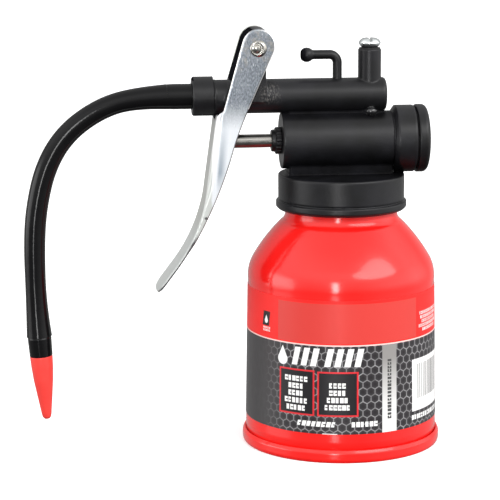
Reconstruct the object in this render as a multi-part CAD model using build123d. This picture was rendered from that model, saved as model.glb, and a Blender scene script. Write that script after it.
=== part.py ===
"""Trigger-action oil can with a flexible spout, as an assembly of separate parts.

Millimetres, +Z up. The origin is the centre of the can's base, on the surface it stands on.
The pump lies along X: the spout points to -X and the rear plug to +X.
"""
from build123d import *
from math import cos, degrees, pi, radians, sin, sqrt, tan
import os

# Can
SEAM_RADIUS = 44.4        # rolled seam round the base
SEAM_HEIGHT = 5.9
WALL_BOTTOM_RADIUS = 43.0  # the wall is drawn with a slight taper
WALL_TOP_RADIUS = 41.8
WALL_TOP_Z = 74.0
SHOULDER = [              # radius and height of points up the shoulder, from the wall to the neck
    (41.35, 79.8), (39.3, 84.7), (33.5, 93.2), (27.2, 100.3), (25.6, 102.0),
]
NECK_FOOT_Z = 104.2
SHEET = 0.6               # sheet thickness of the can
NECK_RADIUS = 25.0
NECK_TOP_Z = 117.0
LABEL_BOTTOM_Z = 12.8
LABEL_TOP_Z = 72.0
LABEL_THICKNESS = 0.15
GASKET_THICKNESS = 1.6

# Pump body
CAP_RADIUS = 28.1
CAP_FLANGE_RADIUS = 29.1
CAP_BOTTOM_Z = 106.4
CAP_FLANGE_TOP_Z = 110.1
CAP_TOP_Z = 122.0
CAP_BORE_RADIUS = 25.6
PUMP_Z = 136.6            # height of the pump cylinder's axis
PUMP_RADIUS = 12.5
PUMP_FRONT_X = -27.0
PUMP_BORE_RADIUS = 9.0
PUMP_BORE_FRONT_X = -21.0
REAR_RING_RADIUS = 14.9
REAR_RING_X = 22.4
REAR_RING_END_X = 32.7
PLUG_RADIUS = 10.5
PLUG_INNER_X = 24.3
PLUG_DISC_RADIUS = 15.1
PLUG_DISC_X = 33.3
PLUG_END_X = 38.0
SADDLE_WIDTH = 13.0       # between the cap and the pump cylinder
BRIDGE_WIDTH = 7.0        # between the pump cylinder and the delivery barrel

BARREL_Z = 156.5          # height of the delivery barrel's axis
BARREL_RADIUS = 7.55
BARREL_FRONT_X = -57.0
BARREL_REAR_X = 19.6
SPIGOT_RADIUS = 6.4       # carries the spout nut
SPIGOT_FRONT_X = -64.3
STOP_LENGTH = 2.8         # small stop under the barrel, above the trigger's web
STOP_WIDTH = 6.0
STOP_DROP = 1.9
PASSAGE_RADIUS = 2.2
VALVE_X = 12.5            # both check valves and the dip tube share this axis
POST_RADIUS = 5.1
POST_TOP_Z = 176.7
POST_BORE_RADIUS = 3.2
BOSS_RADIUS = 1.7         # small boss where the post meets the barrel
BOSS_PLACE = (VALVE_X, -6.3, 149.7)
OUTLET_SEAT_Z = 150.6
PORT_RADIUS = 1.4
BALL_RADIUS = 2.4
SPIGOT_BOTTOM_Z = 106.0   # socket under the cap for the intake valve and the dip tube
INTAKE_RADIUS = 5.4

# Trigger
PIVOT_X = -37.9
PIVOT_Z = 178.4
HEAD_RADIUS = 7.2         # round head of the cheeks
HEAD_X = -37.7
HEAD_Z = 179.7
TRIGGER_WIDTH = 20.0
TRIGGER_SHEET = 1.2
FRONT_LEAN = 15.8         # degrees from vertical, upper front edges of the cheeks
REAR_LEAN = 24.0          # upper rear edges
REAR_EDGE = [             # x, z of points down the rear edges, from the end of their straight part
    (-43.0, 150.0), (-46.6, 140.85), (-49.6, 131.5), (-56.7, 111.8), (-66.0, 93.0),
]
WEB_TOP_Z = 146.0
KNEE_X = -60.8            # where the straight web meets the curved grip
KNEE_Z = 116.0
WEB_LEAN = 7.9
GRIP_RADIUS = 72.0
GRIP_LEAN = 37.0          # lean of the straight end of the grip
GRIP_END = 14.5           # length of that straight end
TIP_ROUNDING = 6.0
CHANNEL_END = 12.0        # degrees round the grip at which the space between the cheeks ends
RIVET_RADIUS = 2.5
RIVET_HEAD_RADIUS = 3.8
RIVET_HEAD_HEIGHT = 2.0
LUG_WIDTH = 17.0
LUG_RADIUS = 7.0
LUG_FRONT_LEAN = 16.8
LUG_REAR_LEAN = 21.0
LUG_HEEL_X = -34.3        # upright rear edge of the lug's foot
LUG_HEEL_Z = 169.0
RUNNING = 0.05            # radial clearance of running fits

# Plunger
ROD_RADIUS = 3.0
ROD_FRONT_X = -55.9
PISTON_FRONT_X = -20.5
PISTON_LENGTH = 7.0
TAIL_RADIUS = 2.0

# Spout
SPOUT_Z = 156.9
SPOUT_NUT_RADIUS = 8.65
SPOUT_NUT_FRONT_X = -66.4
SPOUT_NUT_REAR_X = -57.2
FERRULE_RADIUS = 5.6
HOSE_DIAMETER = 9.5
HOSE_BORE = 4.4
HOSE_ROUTE = [            # x, z of the hose's route, which lies in the plane y = 0
    (-77.5, 156.9), (-92.2, 156.6), (-107.4, 152.0), (-121.9, 141.6), (-130.9, 127.3),
    (-135.4, 109.1), (-136.8, 92.2), (-136.45, 66.0), (-135.4, 50.9),
]
NOZZLE_FERRULE_RADIUS = 5.3
NOZZLE_FERRULE_LENGTH = 9.0
NOZZLE_LENGTH = 29.1

# Hook
HOOK_X = -1.9
HOOK_FOOT_Z = 161.0
HOOK_LEG_Z = 174.4
HOOK_RADIUS = 2.05
HOOK_BEND = 3.6
HOOK_BALL_X = -15.5
HOOK_BALL_RADIUS = 3.2

# Dip tube
DIP_RADIUS = 3.5
DIP_BORE_RADIUS = 2.6
DIP_TOP_Z = 113.0
DIP_BOTTOM_Z = 6.5
FAR = 200.0               # larger than the object, for cutting blocks


def lathe_z(outline, x=0.0):
    """Turn a closed (radius, z) outline about a vertical axis at x."""
    face = Plane.XZ * make_face(Polyline(*outline, close=True))
    return Pos(x, 0, 0) * revolve(face, Axis.Z)


def lathe_x(outline, z):
    """Turn a closed (x, radius) outline about an axis along X at height z."""
    face = Plane.XZ * make_face(Polyline(*outline, close=True))
    return Pos(0, 0, z) * revolve(face, Axis.X)


def rod_x(radius, x0, x1, z):
    return Pos((x0 + x1) / 2, 0, z) * Rot(0, 90, 0) * Cylinder(radius, x1 - x0)


def rod_y(radius, x, z, y0, y1):
    return Pos(x, (y0 + y1) / 2, z) * Rot(90, 0, 0) * Cylinder(radius, y1 - y0)


def rod_z(radius, x, z0, z1):
    return Pos(x, 0, (z0 + z1) / 2) * Cylinder(radius, z1 - z0)


def block(x0, x1, y0, y1, z0, z1):
    centre = Pos((x0 + x1) / 2, (y0 + y1) / 2, (z0 + z1) / 2)
    return centre * Box(x1 - x0, y1 - y0, z1 - z0)


def circles(solid, axis=Axis.Z, low=-FAR, high=FAR, radius=None):
    """Circular edges of a solid between two positions, of one radius if it is given."""
    found = solid.edges().filter_by(GeomType.CIRCLE).filter_by_position(axis, low, high)
    if radius is None:
        return found
    return found.filter_by(lambda edge: abs(edge.radius - radius) < 0.01)


def wall_radius(z):
    """Outer radius of the tapered wall at height z."""
    slope = (WALL_BOTTOM_RADIUS - WALL_TOP_RADIUS) / WALL_TOP_Z
    return WALL_BOTTOM_RADIUS - slope * z


# ---------------------------------------------------------------- can


def inward(point, inset, level):
    """Point moved towards the axis and down by inset, along a direction with the given level share."""
    return (point[0] - level * inset, point[1] - sqrt(1 - level ** 2) * inset)


def can_outline(inset, bottom_z):
    """Half section of the can's outside, moved inwards by inset, closed on the axis."""
    neck = NECK_RADIUS - inset
    top_z = NECK_TOP_Z + inset
    low, crown, middle, throat, foot = (
        inward(point, inset, level) for point, level in zip(SHOULDER, (0.95, 0.8, 0.75, 0.75, 0.9)))
    top = (WALL_TOP_RADIUS - inset, WALL_TOP_Z)
    bottom = (wall_radius(bottom_z) - inset, bottom_z)
    wires = [
        Line((0, top_z), (neck, top_z)),
        Line((neck, top_z), (neck, NECK_FOOT_Z)),
        ThreePointArc((neck, NECK_FOOT_Z), foot, throat),
        ThreePointArc(throat, middle, crown),
        ThreePointArc(crown, low, top),
        Line(top, bottom),
        Line(bottom, (0, bottom_z)),
        Line((0, bottom_z), (0, top_z)),
    ]
    return Plane.XZ * make_face(Wire(wires))


def make_can_body():
    """Drawn shell: tapered wall, shoulder and open neck."""
    outside = revolve(can_outline(0.0, 1.2), Axis.Z)
    inside = revolve(can_outline(SHEET, 1.0), Axis.Z)
    return outside - inside


def make_can_base():
    """Base plate, raised inside the rolled seam that grips the wall."""
    wall = WALL_BOTTOM_RADIUS
    outline = [
        (0, 3.0), (40.9, 3.0), (41.3, 2.6), (41.3, 0.0), (SEAM_RADIUS - 0.7, 0.0),
        (SEAM_RADIUS, 0.7), (SEAM_RADIUS, SEAM_HEIGHT - 0.9), (SEAM_RADIUS - 0.9, SEAM_HEIGHT),
        (wall + 0.02, SEAM_HEIGHT), (wall + 0.02, 1.1), (wall - SHEET - 0.1, 1.1),
        (wall - SHEET - 0.1, 3.6), (0, 3.6),
    ]
    return lathe_z(outline)


def make_label():
    """Printed wrap round the wall."""
    low = wall_radius(LABEL_BOTTOM_Z) + 0.02
    high = wall_radius(LABEL_TOP_Z) + 0.02
    return lathe_z([
        (low, LABEL_BOTTOM_Z), (low + LABEL_THICKNESS, LABEL_BOTTOM_Z),
        (high + LABEL_THICKNESS, LABEL_TOP_Z), (high, LABEL_TOP_Z),
    ])


def make_neck_gasket():
    """Flat sealing ring between the neck's rim and the cap."""
    top = NECK_TOP_Z + GASKET_THICKNESS
    return lathe_z([
        (20.5, NECK_TOP_Z), (NECK_RADIUS + 0.3, NECK_TOP_Z), (NECK_RADIUS + 0.3, top), (20.5, top),
    ])


# ---------------------------------------------------------------- pump body


def make_cap():
    """Screw cap with its grip ring and lower flange."""
    cap = lathe_z([
        (0, CAP_BOTTOM_Z), (CAP_FLANGE_RADIUS - 0.7, CAP_BOTTOM_Z),
        (CAP_FLANGE_RADIUS, CAP_BOTTOM_Z + 1.2), (CAP_FLANGE_RADIUS, CAP_FLANGE_TOP_Z - 0.4),
        (CAP_FLANGE_RADIUS - 0.4, CAP_FLANGE_TOP_Z), (CAP_RADIUS, CAP_FLANGE_TOP_Z),
        (CAP_RADIUS, CAP_TOP_Z), (0, CAP_TOP_Z),
    ])
    return fillet(circles(cap, low=CAP_TOP_Z - 0.1), 0.9)


def make_pump_cylinder():
    """Horizontal cylinder with the stepped ring at its rear end."""
    cylinder = lathe_x([
        (PUMP_FRONT_X, 0), (PUMP_FRONT_X, PUMP_RADIUS - 0.5), (PUMP_FRONT_X + 0.5, PUMP_RADIUS),
        (REAR_RING_X, PUMP_RADIUS), (REAR_RING_X + 1.4, REAR_RING_RADIUS),
        (REAR_RING_END_X, REAR_RING_RADIUS), (REAR_RING_END_X, 0),
    ], PUMP_Z)
    rim = circles(cylinder, Axis.X, REAR_RING_END_X - 0.1, REAR_RING_END_X + 0.1)
    return fillet(rim, 1.1)


def make_barrel():
    """Delivery barrel, with the spigot that carries the spout nut."""
    barrel = rod_x(BARREL_RADIUS, BARREL_FRONT_X, BARREL_REAR_X, BARREL_Z)
    barrel = fillet(circles(barrel, Axis.X, BARREL_REAR_X - 0.1, BARREL_REAR_X + 0.1), 1.6)
    half = STOP_WIDTH / 2
    low = BARREL_Z - BARREL_RADIUS - STOP_DROP
    stop = block(BARREL_FRONT_X, BARREL_FRONT_X + STOP_LENGTH, -half, half, low, BARREL_Z)
    return barrel + stop + rod_x(SPIGOT_RADIUS, SPIGOT_FRONT_X, BARREL_FRONT_X, SPOUT_Z)


def tangent_point(radius, lean, side):
    """Point of the head's circle where a line that leans by so many degrees touches it."""
    angle = radians(lean)
    return (HEAD_X + side * radius * cos(angle), HEAD_Z - side * radius * sin(angle))


def down_line(point, lean, z):
    """Point at height z on the line through a point that leans by so many degrees from vertical."""
    return (point[0] - (point[1] - z) * tan(radians(lean)), z)


def make_lug():
    """Upright lug between the trigger's cheeks, which carries the pivot."""
    base_z = BARREL_Z + 2.0
    top_left = tangent_point(LUG_RADIUS, LUG_FRONT_LEAN, -1)
    foot_left = down_line(top_left, LUG_FRONT_LEAN, base_z)
    top_right = tangent_point(LUG_RADIUS, LUG_REAR_LEAN, 1)
    foot_right = down_line(top_right, LUG_REAR_LEAN, base_z)
    face = make_face(Wire([
        Line(foot_left, top_left),
        ThreePointArc(top_left, (HEAD_X, HEAD_Z + LUG_RADIUS), top_right),
        Line(top_right, foot_right),
        Line(foot_right, foot_left),
    ]))
    half = LUG_WIDTH / 2
    heel = block(PIVOT_X, LUG_HEEL_X, -half, half, base_z, LUG_HEEL_Z)
    return extrude(Plane.XZ * face, half, both=True) + heel


def pump_bores():
    """Every space inside the pump body, as one list of cutting solids."""
    seal_x = -22.0
    return [
        rod_z(CAP_BORE_RADIUS, 0, CAP_BOTTOM_Z - 1, NECK_TOP_Z + GASKET_THICKNESS),
        rod_x(PUMP_BORE_RADIUS, PUMP_BORE_FRONT_X, REAR_RING_END_X + 1, PUMP_Z),
        rod_x(PLUG_RADIUS + 0.1, PLUG_INNER_X - 0.3, REAR_RING_END_X + 1, PUMP_Z),
        rod_x(4.4, PUMP_FRONT_X - 1, seal_x, PUMP_Z),
        rod_x(ROD_RADIUS + 0.3, seal_x - 1, PUMP_BORE_FRONT_X + 1, PUMP_Z),
        rod_x(PASSAGE_RADIUS, -70.0, VALVE_X, BARREL_Z),
        rod_z(POST_BORE_RADIUS, VALVE_X, OUTLET_SEAT_Z, POST_TOP_Z + 1),
        rod_z(PORT_RADIUS, VALVE_X, PUMP_Z, OUTLET_SEAT_Z + 1),
        rod_z(PORT_RADIUS, VALVE_X, DIP_TOP_Z, PUMP_Z),
        rod_y(RIVET_RADIUS + RUNNING, PIVOT_X, PIVOT_Z, -LUG_WIDTH, LUG_WIDTH),
        rod_z(HOOK_RADIUS, HOOK_X, HOOK_FOOT_Z, BARREL_Z + 20),
    ]


def make_intake_spigot():
    """Socket under the cap for the intake valve and the dip tube."""
    spigot = rod_z(INTAKE_RADIUS, VALVE_X, SPIGOT_BOTTOM_Z, CAP_TOP_Z - 1)
    return spigot, rod_z(DIP_RADIUS + RUNNING, VALVE_X, SPIGOT_BOTTOM_Z - 1, CAP_TOP_Z - 2)


def make_pump_body():
    """Cap, cylinder, barrel, lug and valve post as one casting."""
    saddle, bridge = SADDLE_WIDTH / 2, BRIDGE_WIDTH / 2
    saddle = block(PUMP_FRONT_X + 3, REAR_RING_X, -saddle, saddle, CAP_TOP_Z - 2, PUMP_Z)
    bridge = block(PUMP_FRONT_X + 3, BARREL_REAR_X - 1.5, -bridge, bridge, PUMP_Z, BARREL_Z)
    post = rod_z(POST_RADIUS, VALVE_X, PUMP_Z, POST_TOP_Z)
    post = fillet(circles(post, Axis.Z, POST_TOP_Z - 0.1, POST_TOP_Z + 0.1), 0.6)
    outside = make_cap() + make_pump_cylinder() + saddle + bridge
    outside = outside + make_barrel() + post + make_lug() + Pos(*BOSS_PLACE) * Sphere(BOSS_RADIUS)
    spigot, socket = make_intake_spigot()
    outside = outside - pump_bores()[0] + spigot
    for bore in pump_bores()[1:]:
        outside = outside - bore
    return outside - socket


# ---------------------------------------------------------------- hook


def make_hang_hook():
    """Bent rod with a ball end, pressed into the top of the barrel."""
    bend_x = HOOK_X - HOOK_BEND
    bend_z = HOOK_LEG_Z - HOOK_BEND
    mid = (HOOK_X - HOOK_BEND * (1 - cos(pi / 4)), bend_z + HOOK_BEND * sin(pi / 4))
    path = Wire([
        Line((HOOK_X, HOOK_FOOT_Z), (HOOK_X, bend_z)),
        ThreePointArc((HOOK_X, bend_z), mid, (bend_x, HOOK_LEG_Z)),
        Line((bend_x, HOOK_LEG_Z), (HOOK_BALL_X + 1.5, HOOK_LEG_Z)),
    ])
    path = Plane.XZ * path
    section = Plane((HOOK_X, 0, HOOK_FOOT_Z)) * Circle(HOOK_RADIUS)
    rod = sweep(section, path)
    flare = lathe_x([
        (HOOK_BALL_X, 0), (HOOK_BALL_X, 3.0), (HOOK_BALL_X + 1.6, 2.9), (HOOK_BALL_X + 4.0, HOOK_RADIUS),
        (HOOK_BALL_X + 4.0, 0),
    ], HOOK_LEG_Z)
    return rod + flare + Pos(HOOK_BALL_X, 0, HOOK_LEG_Z) * Sphere(HOOK_BALL_RADIUS)


# ---------------------------------------------------------------- trigger


def grip_point(offset, lean):
    """Point of the curved grip at a lean in degrees, offset to the rear of its front face."""
    start, angle = radians(WEB_LEAN), radians(lean)
    centre_x = KNEE_X - GRIP_RADIUS * cos(start)
    centre_z = KNEE_Z + GRIP_RADIUS * sin(start)
    radius = GRIP_RADIUS + offset
    return (centre_x + radius * cos(angle), centre_z - radius * sin(angle))


def tip_point(offset):
    """End of the grip, offset to the rear of its front face."""
    x, z = grip_point(offset, GRIP_LEAN)
    return (x - GRIP_END * sin(radians(GRIP_LEAN)), z - GRIP_END * cos(radians(GRIP_LEAN)))


def web_top(offset):
    """Top corner of the web, offset to the rear of its front face."""
    rise = WEB_TOP_Z - KNEE_Z
    return (KNEE_X + rise * tan(radians(WEB_LEAN)) + offset / cos(radians(WEB_LEAN)), WEB_TOP_Z)


def trigger_side():
    """Side view of the whole trigger: head, cheeks and grip."""
    head_left = tangent_point(HEAD_RADIUS, FRONT_LEAN, -1)
    head_right = tangent_point(HEAD_RADIUS, REAR_LEAN, 1)
    shoulder = down_line(head_left, FRONT_LEAN, WEB_TOP_Z + 2.0)
    upper, upper_mid, waist, lower_mid, run_out = REAR_EDGE
    middle = (GRIP_LEAN + WEB_LEAN) / 2
    back_bend = grip_point(TRIGGER_SHEET, GRIP_LEAN)
    return make_face(Wire([
        Line(head_left, shoulder),
        Line(shoulder, web_top(0)),
        Line(web_top(0), (KNEE_X, KNEE_Z)),
        ThreePointArc((KNEE_X, KNEE_Z), grip_point(0, middle), grip_point(0, GRIP_LEAN)),
        Line(grip_point(0, GRIP_LEAN), tip_point(0)),
        Line(tip_point(0), tip_point(TRIGGER_SHEET)),
        Line(tip_point(TRIGGER_SHEET), back_bend),
        Line(back_bend, run_out),
        ThreePointArc(run_out, lower_mid, waist),
        ThreePointArc(waist, upper_mid, upper),
        Line(upper, head_right),
        ThreePointArc(head_right, (HEAD_X, HEAD_Z + HEAD_RADIUS), head_left),
    ]))


def channel_space():
    """Side view of the space between the cheeks, behind and above the web."""
    top = web_top(TRIGGER_SHEET)
    knee = grip_point(TRIGGER_SHEET, WEB_LEAN)
    low = grip_point(TRIGGER_SHEET, WEB_LEAN + CHANNEL_END)
    return make_face(Wire([
        Line((-FAR, WEB_TOP_Z), top),
        Line(top, knee),
        ThreePointArc(knee, grip_point(TRIGGER_SHEET, WEB_LEAN + CHANNEL_END / 2), low),
        Line(low, (0, low[1])),
        Line((0, low[1]), (0, FAR)),
        Line((0, FAR), (-FAR, FAR)),
        Line((-FAR, FAR), (-FAR, WEB_TOP_Z)),
    ]))


def make_trigger():
    """Pressed steel channel: two cheeks, a web and a curved finger grip."""
    half = TRIGGER_WIDTH / 2
    lever = extrude(Plane.XZ * trigger_side(), half, both=True)
    tip_z = tip_point(0)[1]
    corners = lever.edges().filter_by_position(Axis.Z, tip_z - 2.5, tip_z + 0.5)
    corners = corners.filter_by(lambda edge: abs(edge.length - TRIGGER_SHEET) < 0.05)
    lever = fillet(corners, TIP_ROUNDING)
    space = extrude(Plane.XZ * channel_space(), half - TRIGGER_SHEET, both=True)
    return lever - space - rod_y(RIVET_RADIUS, PIVOT_X, PIVOT_Z, -half - 1, half + 1)


def make_pivot_rivet():
    """Shank through the lug, with a domed head outside each cheek."""
    half = TRIGGER_WIDTH / 2
    shank = rod_y(RIVET_RADIUS, PIVOT_X, PIVOT_Z, -half, half)
    height = RIVET_HEAD_HEIGHT
    ball_radius = (RIVET_HEAD_RADIUS ** 2 + height ** 2) / (2 * height)
    dome = Sphere(ball_radius) & block(-FAR, FAR, -FAR, -(ball_radius - height), -FAR, FAR)
    near = Pos(PIVOT_X, -half + ball_radius - height, PIVOT_Z) * dome
    return shank + near + mirror(near, Plane.XZ)


# ---------------------------------------------------------------- plunger


def make_plunger_rod():
    """Rod with a rounded front end and a thinner tail that carries the piston."""
    rod = rod_x(ROD_RADIUS, ROD_FRONT_X, PISTON_FRONT_X, PUMP_Z)
    rod = fillet(circles(rod, Axis.X, ROD_FRONT_X - 0.1, ROD_FRONT_X + 0.1), 2.0)
    tail_end = PISTON_FRONT_X + PISTON_LENGTH + 4.0
    return rod + rod_x(TAIL_RADIUS, PISTON_FRONT_X - 1, tail_end, PUMP_Z)


def make_piston():
    """Piston with a groove for its seal."""
    rear = PISTON_FRONT_X + PISTON_LENGTH
    middle = (PISTON_FRONT_X + rear) / 2
    outer = PUMP_BORE_RADIUS - 0.1
    return lathe_x([
        (PISTON_FRONT_X, TAIL_RADIUS + 0.01), (PISTON_FRONT_X, outer), (middle - 1.2, outer),
        (middle - 1.2, 7.2), (middle + 1.2, 7.2), (middle + 1.2, outer), (rear, outer),
        (rear, TAIL_RADIUS + 0.01),
    ], PUMP_Z)


def make_piston_seal():
    middle = PISTON_FRONT_X + PISTON_LENGTH / 2
    outer = PUMP_BORE_RADIUS - 0.03
    return lathe_x([
        (middle - 1.1, 7.25), (middle - 1.1, outer - 0.4), (middle - 0.6, outer),
        (middle + 0.6, outer), (middle + 1.1, outer - 0.4), (middle + 1.1, 7.25),
    ], PUMP_Z)


def make_piston_nut():
    """Hexagon nut that holds the piston on the rod's tail."""
    rear = PISTON_FRONT_X + PISTON_LENGTH
    section = RegularPolygon(4.0, 6) - Circle(TAIL_RADIUS + 0.01)
    return Pos(rear, 0, PUMP_Z) * Rot(0, 90, 0) * extrude(section, 2.8)


def coil(wire_radius, radius, pitch, turns):
    """Coil spring standing on the XY plane, with its wire's centre line starting at z = 0."""
    path = Helix(pitch, pitch * turns, radius)
    section = Plane(origin=path @ 0, z_dir=path % 0) * Circle(wire_radius)
    return sweep(section, path, is_frenet=True)


def make_return_spring():
    """Spring between the piston and the rear plug."""
    front = PISTON_FRONT_X + PISTON_LENGTH + 0.8
    turns = 8
    pitch = (PLUG_INNER_X - 0.8 - front) / turns
    return Pos(front, 0, PUMP_Z) * Rot(0, 90, 0) * coil(0.6, 7.2, pitch, turns)


def make_gland_nut():
    """Ribbed nut that holds the rod's seal in the front of the cylinder."""
    bore = ROD_RADIUS + RUNNING
    nut = lathe_x([
        (-31.4, bore), (-31.4, 4.8), (-29.7, 5.0), (-29.7, 5.6), (-29.3, 6.0), (-27.4, 6.0),
        (PUMP_FRONT_X, 5.5), (PUMP_FRONT_X, 4.35), (-23.6, 4.35), (-23.6, bore),
    ], PUMP_Z)
    ribs = 18
    for index in range(ribs):
        angle = 2 * pi * index / ribs
        place = Pos(-28.4, 6.2 * sin(angle), PUMP_Z + 6.2 * cos(angle))
        nut = nut - place * Rot(0, 90, 0) * Cylinder(0.45, 2.6)
    return nut


def make_rod_seal():
    return lathe_x([
        (-23.5, ROD_RADIUS + 0.02), (-23.5, 4.3), (-22.1, 4.3), (-22.1, ROD_RADIUS + 0.02),
    ], PUMP_Z)


def make_end_cap():
    """Screw plug that closes the rear of the cylinder."""
    plug = lathe_x([
        (PLUG_INNER_X, 0), (PLUG_INNER_X, PLUG_RADIUS), (PLUG_DISC_X, PLUG_RADIUS),
        (PLUG_DISC_X, PLUG_DISC_RADIUS), (PLUG_END_X, PLUG_DISC_RADIUS), (PLUG_END_X, 0),
    ], PUMP_Z)
    plug = fillet(circles(plug, Axis.X, PLUG_END_X - 0.1, PLUG_END_X + 0.1), 2.2)
    return fillet(circles(plug, Axis.X, PLUG_DISC_X - 0.1, PLUG_DISC_X + 0.1, PLUG_DISC_RADIUS), 0.6)


def make_end_cap_gasket():
    inner = PLUG_RADIUS + 0.15
    return lathe_x([
        (REAR_RING_END_X, inner), (REAR_RING_END_X, 13.3), (PLUG_DISC_X, 13.3), (PLUG_DISC_X, inner),
    ], PUMP_Z)


# ---------------------------------------------------------------- valves


def ball_centre(seat_z):
    """Height of a ball's centre when it rests in the round edge of its port."""
    return seat_z + sqrt(BALL_RADIUS ** 2 - PORT_RADIUS ** 2) + 0.02


def make_inlet_seat():
    """Bush above the dip tube, on which the inlet ball rests."""
    return lathe_z([
        (PORT_RADIUS, DIP_TOP_Z), (DIP_RADIUS, DIP_TOP_Z), (DIP_RADIUS, DIP_TOP_Z + 1.5),
        (PORT_RADIUS, DIP_TOP_Z + 1.5),
    ], VALVE_X)


def make_inlet_ball():
    return Pos(VALVE_X, 0, ball_centre(DIP_TOP_Z + 1.5)) * Sphere(BALL_RADIUS)


def make_outlet_ball():
    return Pos(VALVE_X, 0, ball_centre(OUTLET_SEAT_Z)) * Sphere(BALL_RADIUS)


def make_outlet_spring():
    """Light spring that holds the outlet ball on its seat."""
    low = ball_centre(OUTLET_SEAT_Z) + 2.2
    turns = 7
    pitch = (170.3 - low) / turns
    return Pos(VALVE_X, 0, low) * coil(0.25, 1.9, pitch, turns)


def make_valve_washer():
    return lathe_z([(3.15, POST_TOP_Z), (4.7, POST_TOP_Z), (4.7, POST_TOP_Z + 0.5), (3.15, POST_TOP_Z + 0.5)],
                   VALVE_X)


def make_valve_screw():
    """Pan-head screw that closes the outlet valve's chamber."""
    seat = POST_TOP_Z + 0.5
    radius = 5.0
    height = 4.3
    head = rod_z(radius, VALVE_X, seat, seat + height)
    head = fillet(circles(head, Axis.Z, seat + height - 0.1, seat + height + 0.1), 2.9)
    head = fillet(circles(head, Axis.Z, seat - 0.1, seat + 0.1), 0.5)
    slot = block(VALVE_X - 0.6, VALVE_X + 0.6, -radius, radius, seat + height - 1.3, FAR)
    return head + rod_z(POST_BORE_RADIUS - 0.1, VALVE_X, 170.8, seat + 1) - slot


def make_dip_tube():
    return rod_z(DIP_RADIUS, VALVE_X, DIP_BOTTOM_Z, DIP_TOP_Z) - rod_z(
        DIP_BORE_RADIUS, VALVE_X, DIP_BOTTOM_Z - 1, DIP_TOP_Z + 1)


def make_intake_strainer():
    """Slotted cup on the lower end of the dip tube."""
    inner = DIP_RADIUS + 0.02
    cup = lathe_z([
        (0, 4.6), (4.6, 4.6), (4.6, 12.0), (inner, 12.0), (inner, DIP_BOTTOM_Z - 0.1),
        (DIP_BORE_RADIUS, DIP_BOTTOM_Z - 0.1), (DIP_BORE_RADIUS, 5.4), (0, 5.4),
    ], VALVE_X)
    slot = Pos(VALVE_X, 0, 4.6) * Box(12.0, 1.0, 2.4)
    cross = Pos(VALVE_X, 0, 4.6) * Box(1.0, 12.0, 2.4)
    return cup - slot - cross


# ---------------------------------------------------------------- spout


def make_spout_nut():
    """Union nut that holds the hose fitting on the barrel."""
    bore = 6.5
    return lathe_x([
        (SPOUT_NUT_FRONT_X, FERRULE_RADIUS + 0.05), (SPOUT_NUT_FRONT_X, SPOUT_NUT_RADIUS - 1.2),
        (SPOUT_NUT_FRONT_X + 0.5, SPOUT_NUT_RADIUS - 0.2), (SPOUT_NUT_FRONT_X + 0.9, SPOUT_NUT_RADIUS),
        (SPOUT_NUT_REAR_X - 0.8, SPOUT_NUT_RADIUS), (SPOUT_NUT_REAR_X, SPOUT_NUT_RADIUS - 0.8),
        (SPOUT_NUT_REAR_X, bore), (-65.2, bore), (-65.2, FERRULE_RADIUS + 0.05),
    ], SPOUT_Z)


def make_spout_washer():
    return lathe_x([(-64.9, 2.3), (-64.9, 6.3), (-64.35, 6.3), (-64.35, 2.3)], SPOUT_Z)


def make_hose_barb():
    """Metal tube fitting, with a flange held by the nut and ribs inside the hose."""
    return lathe_x([
        (-84.0, 1.2), (-84.0, 1.6), (-82.0, 1.95), (-82.0, 1.7), (-80.5, 1.95), (-80.5, 1.7),
        (-77.6, 1.7), (-77.6, 2.5), (-65.1, 2.5), (-65.1, 4.0), (-64.9, 4.0), (-64.9, 1.2),
    ], SPOUT_Z)


def make_spout_ferrule():
    """Sleeve over the root of the hose."""
    ferrule = lathe_x([
        (-77.5, 2.55), (-77.5, 4.6), (-76.2, 5.4), (-74.6, FERRULE_RADIUS), (-65.15, FERRULE_RADIUS),
        (-65.15, 2.55),
    ], SPOUT_Z)
    return ferrule - rod_x(4.1, -65.6, -65.0, SPOUT_Z)


def route_radii(route):
    """Radius of the arc at each inner point, and the turn there in degrees."""
    rows = []
    for before, here, after in zip(route, route[1:], route[2:]):
        run_in = Vector(*here) - Vector(*before)
        run_out = Vector(*after) - Vector(*here)
        turn = radians(run_in.get_angle(run_out))
        rows.append((0.45 * min(run_in.length, run_out.length) / tan(turn / 2), degrees(turn)))
    return rows


def make_spout_hose():
    """Flexible hose in straight runs joined by tangent arcs."""
    route = [(x, 0, z) for x, z in HOSE_ROUTE]
    radii = [radius for radius, _ in route_radii(route)]
    path = FilletPolyline(*route, radius=radii)
    section = Circle(HOSE_DIAMETER / 2) - Circle(HOSE_BORE / 2)
    hose = sweep(Plane(origin=path @ 0, z_dir=path % 0) * section, path)
    area = pi * (HOSE_DIAMETER ** 2 - HOSE_BORE ** 2) / 4
    print("hose radii", [round(radius, 1) for radius in radii], "length", round(path.length, 1))
    print("hose volume / (section x length)", round(hose.volume / (area * path.length), 4))
    return hose


def nozzle_place(distance):
    """Frame on the spout's end axis, a distance past the hose's end, with +Z along the flow."""
    (x0, z0), (x1, z1) = HOSE_ROUTE[-2:]
    flow = Vector(x1 - x0, 0, z1 - z0).normalized()
    return Plane(origin=Vector(x1, 0, z1) + flow * distance, x_dir=(0, 1, 0), z_dir=flow)


def lathe_nozzle(outline, distance):
    """Turn a closed (radius, distance) outline about the spout's end axis."""
    face = Plane.XZ * make_face(Polyline(*outline, close=True))
    return nozzle_place(distance) * revolve(face, Axis.Z)


def make_nozzle_ferrule():
    """Black sleeve between the hose and the nozzle."""
    end = NOZZLE_FERRULE_LENGTH
    radius = NOZZLE_FERRULE_RADIUS
    return lathe_nozzle([(1.4, 0), (radius, 0), (radius - 0.15, end), (1.4, end)], 0)


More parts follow.
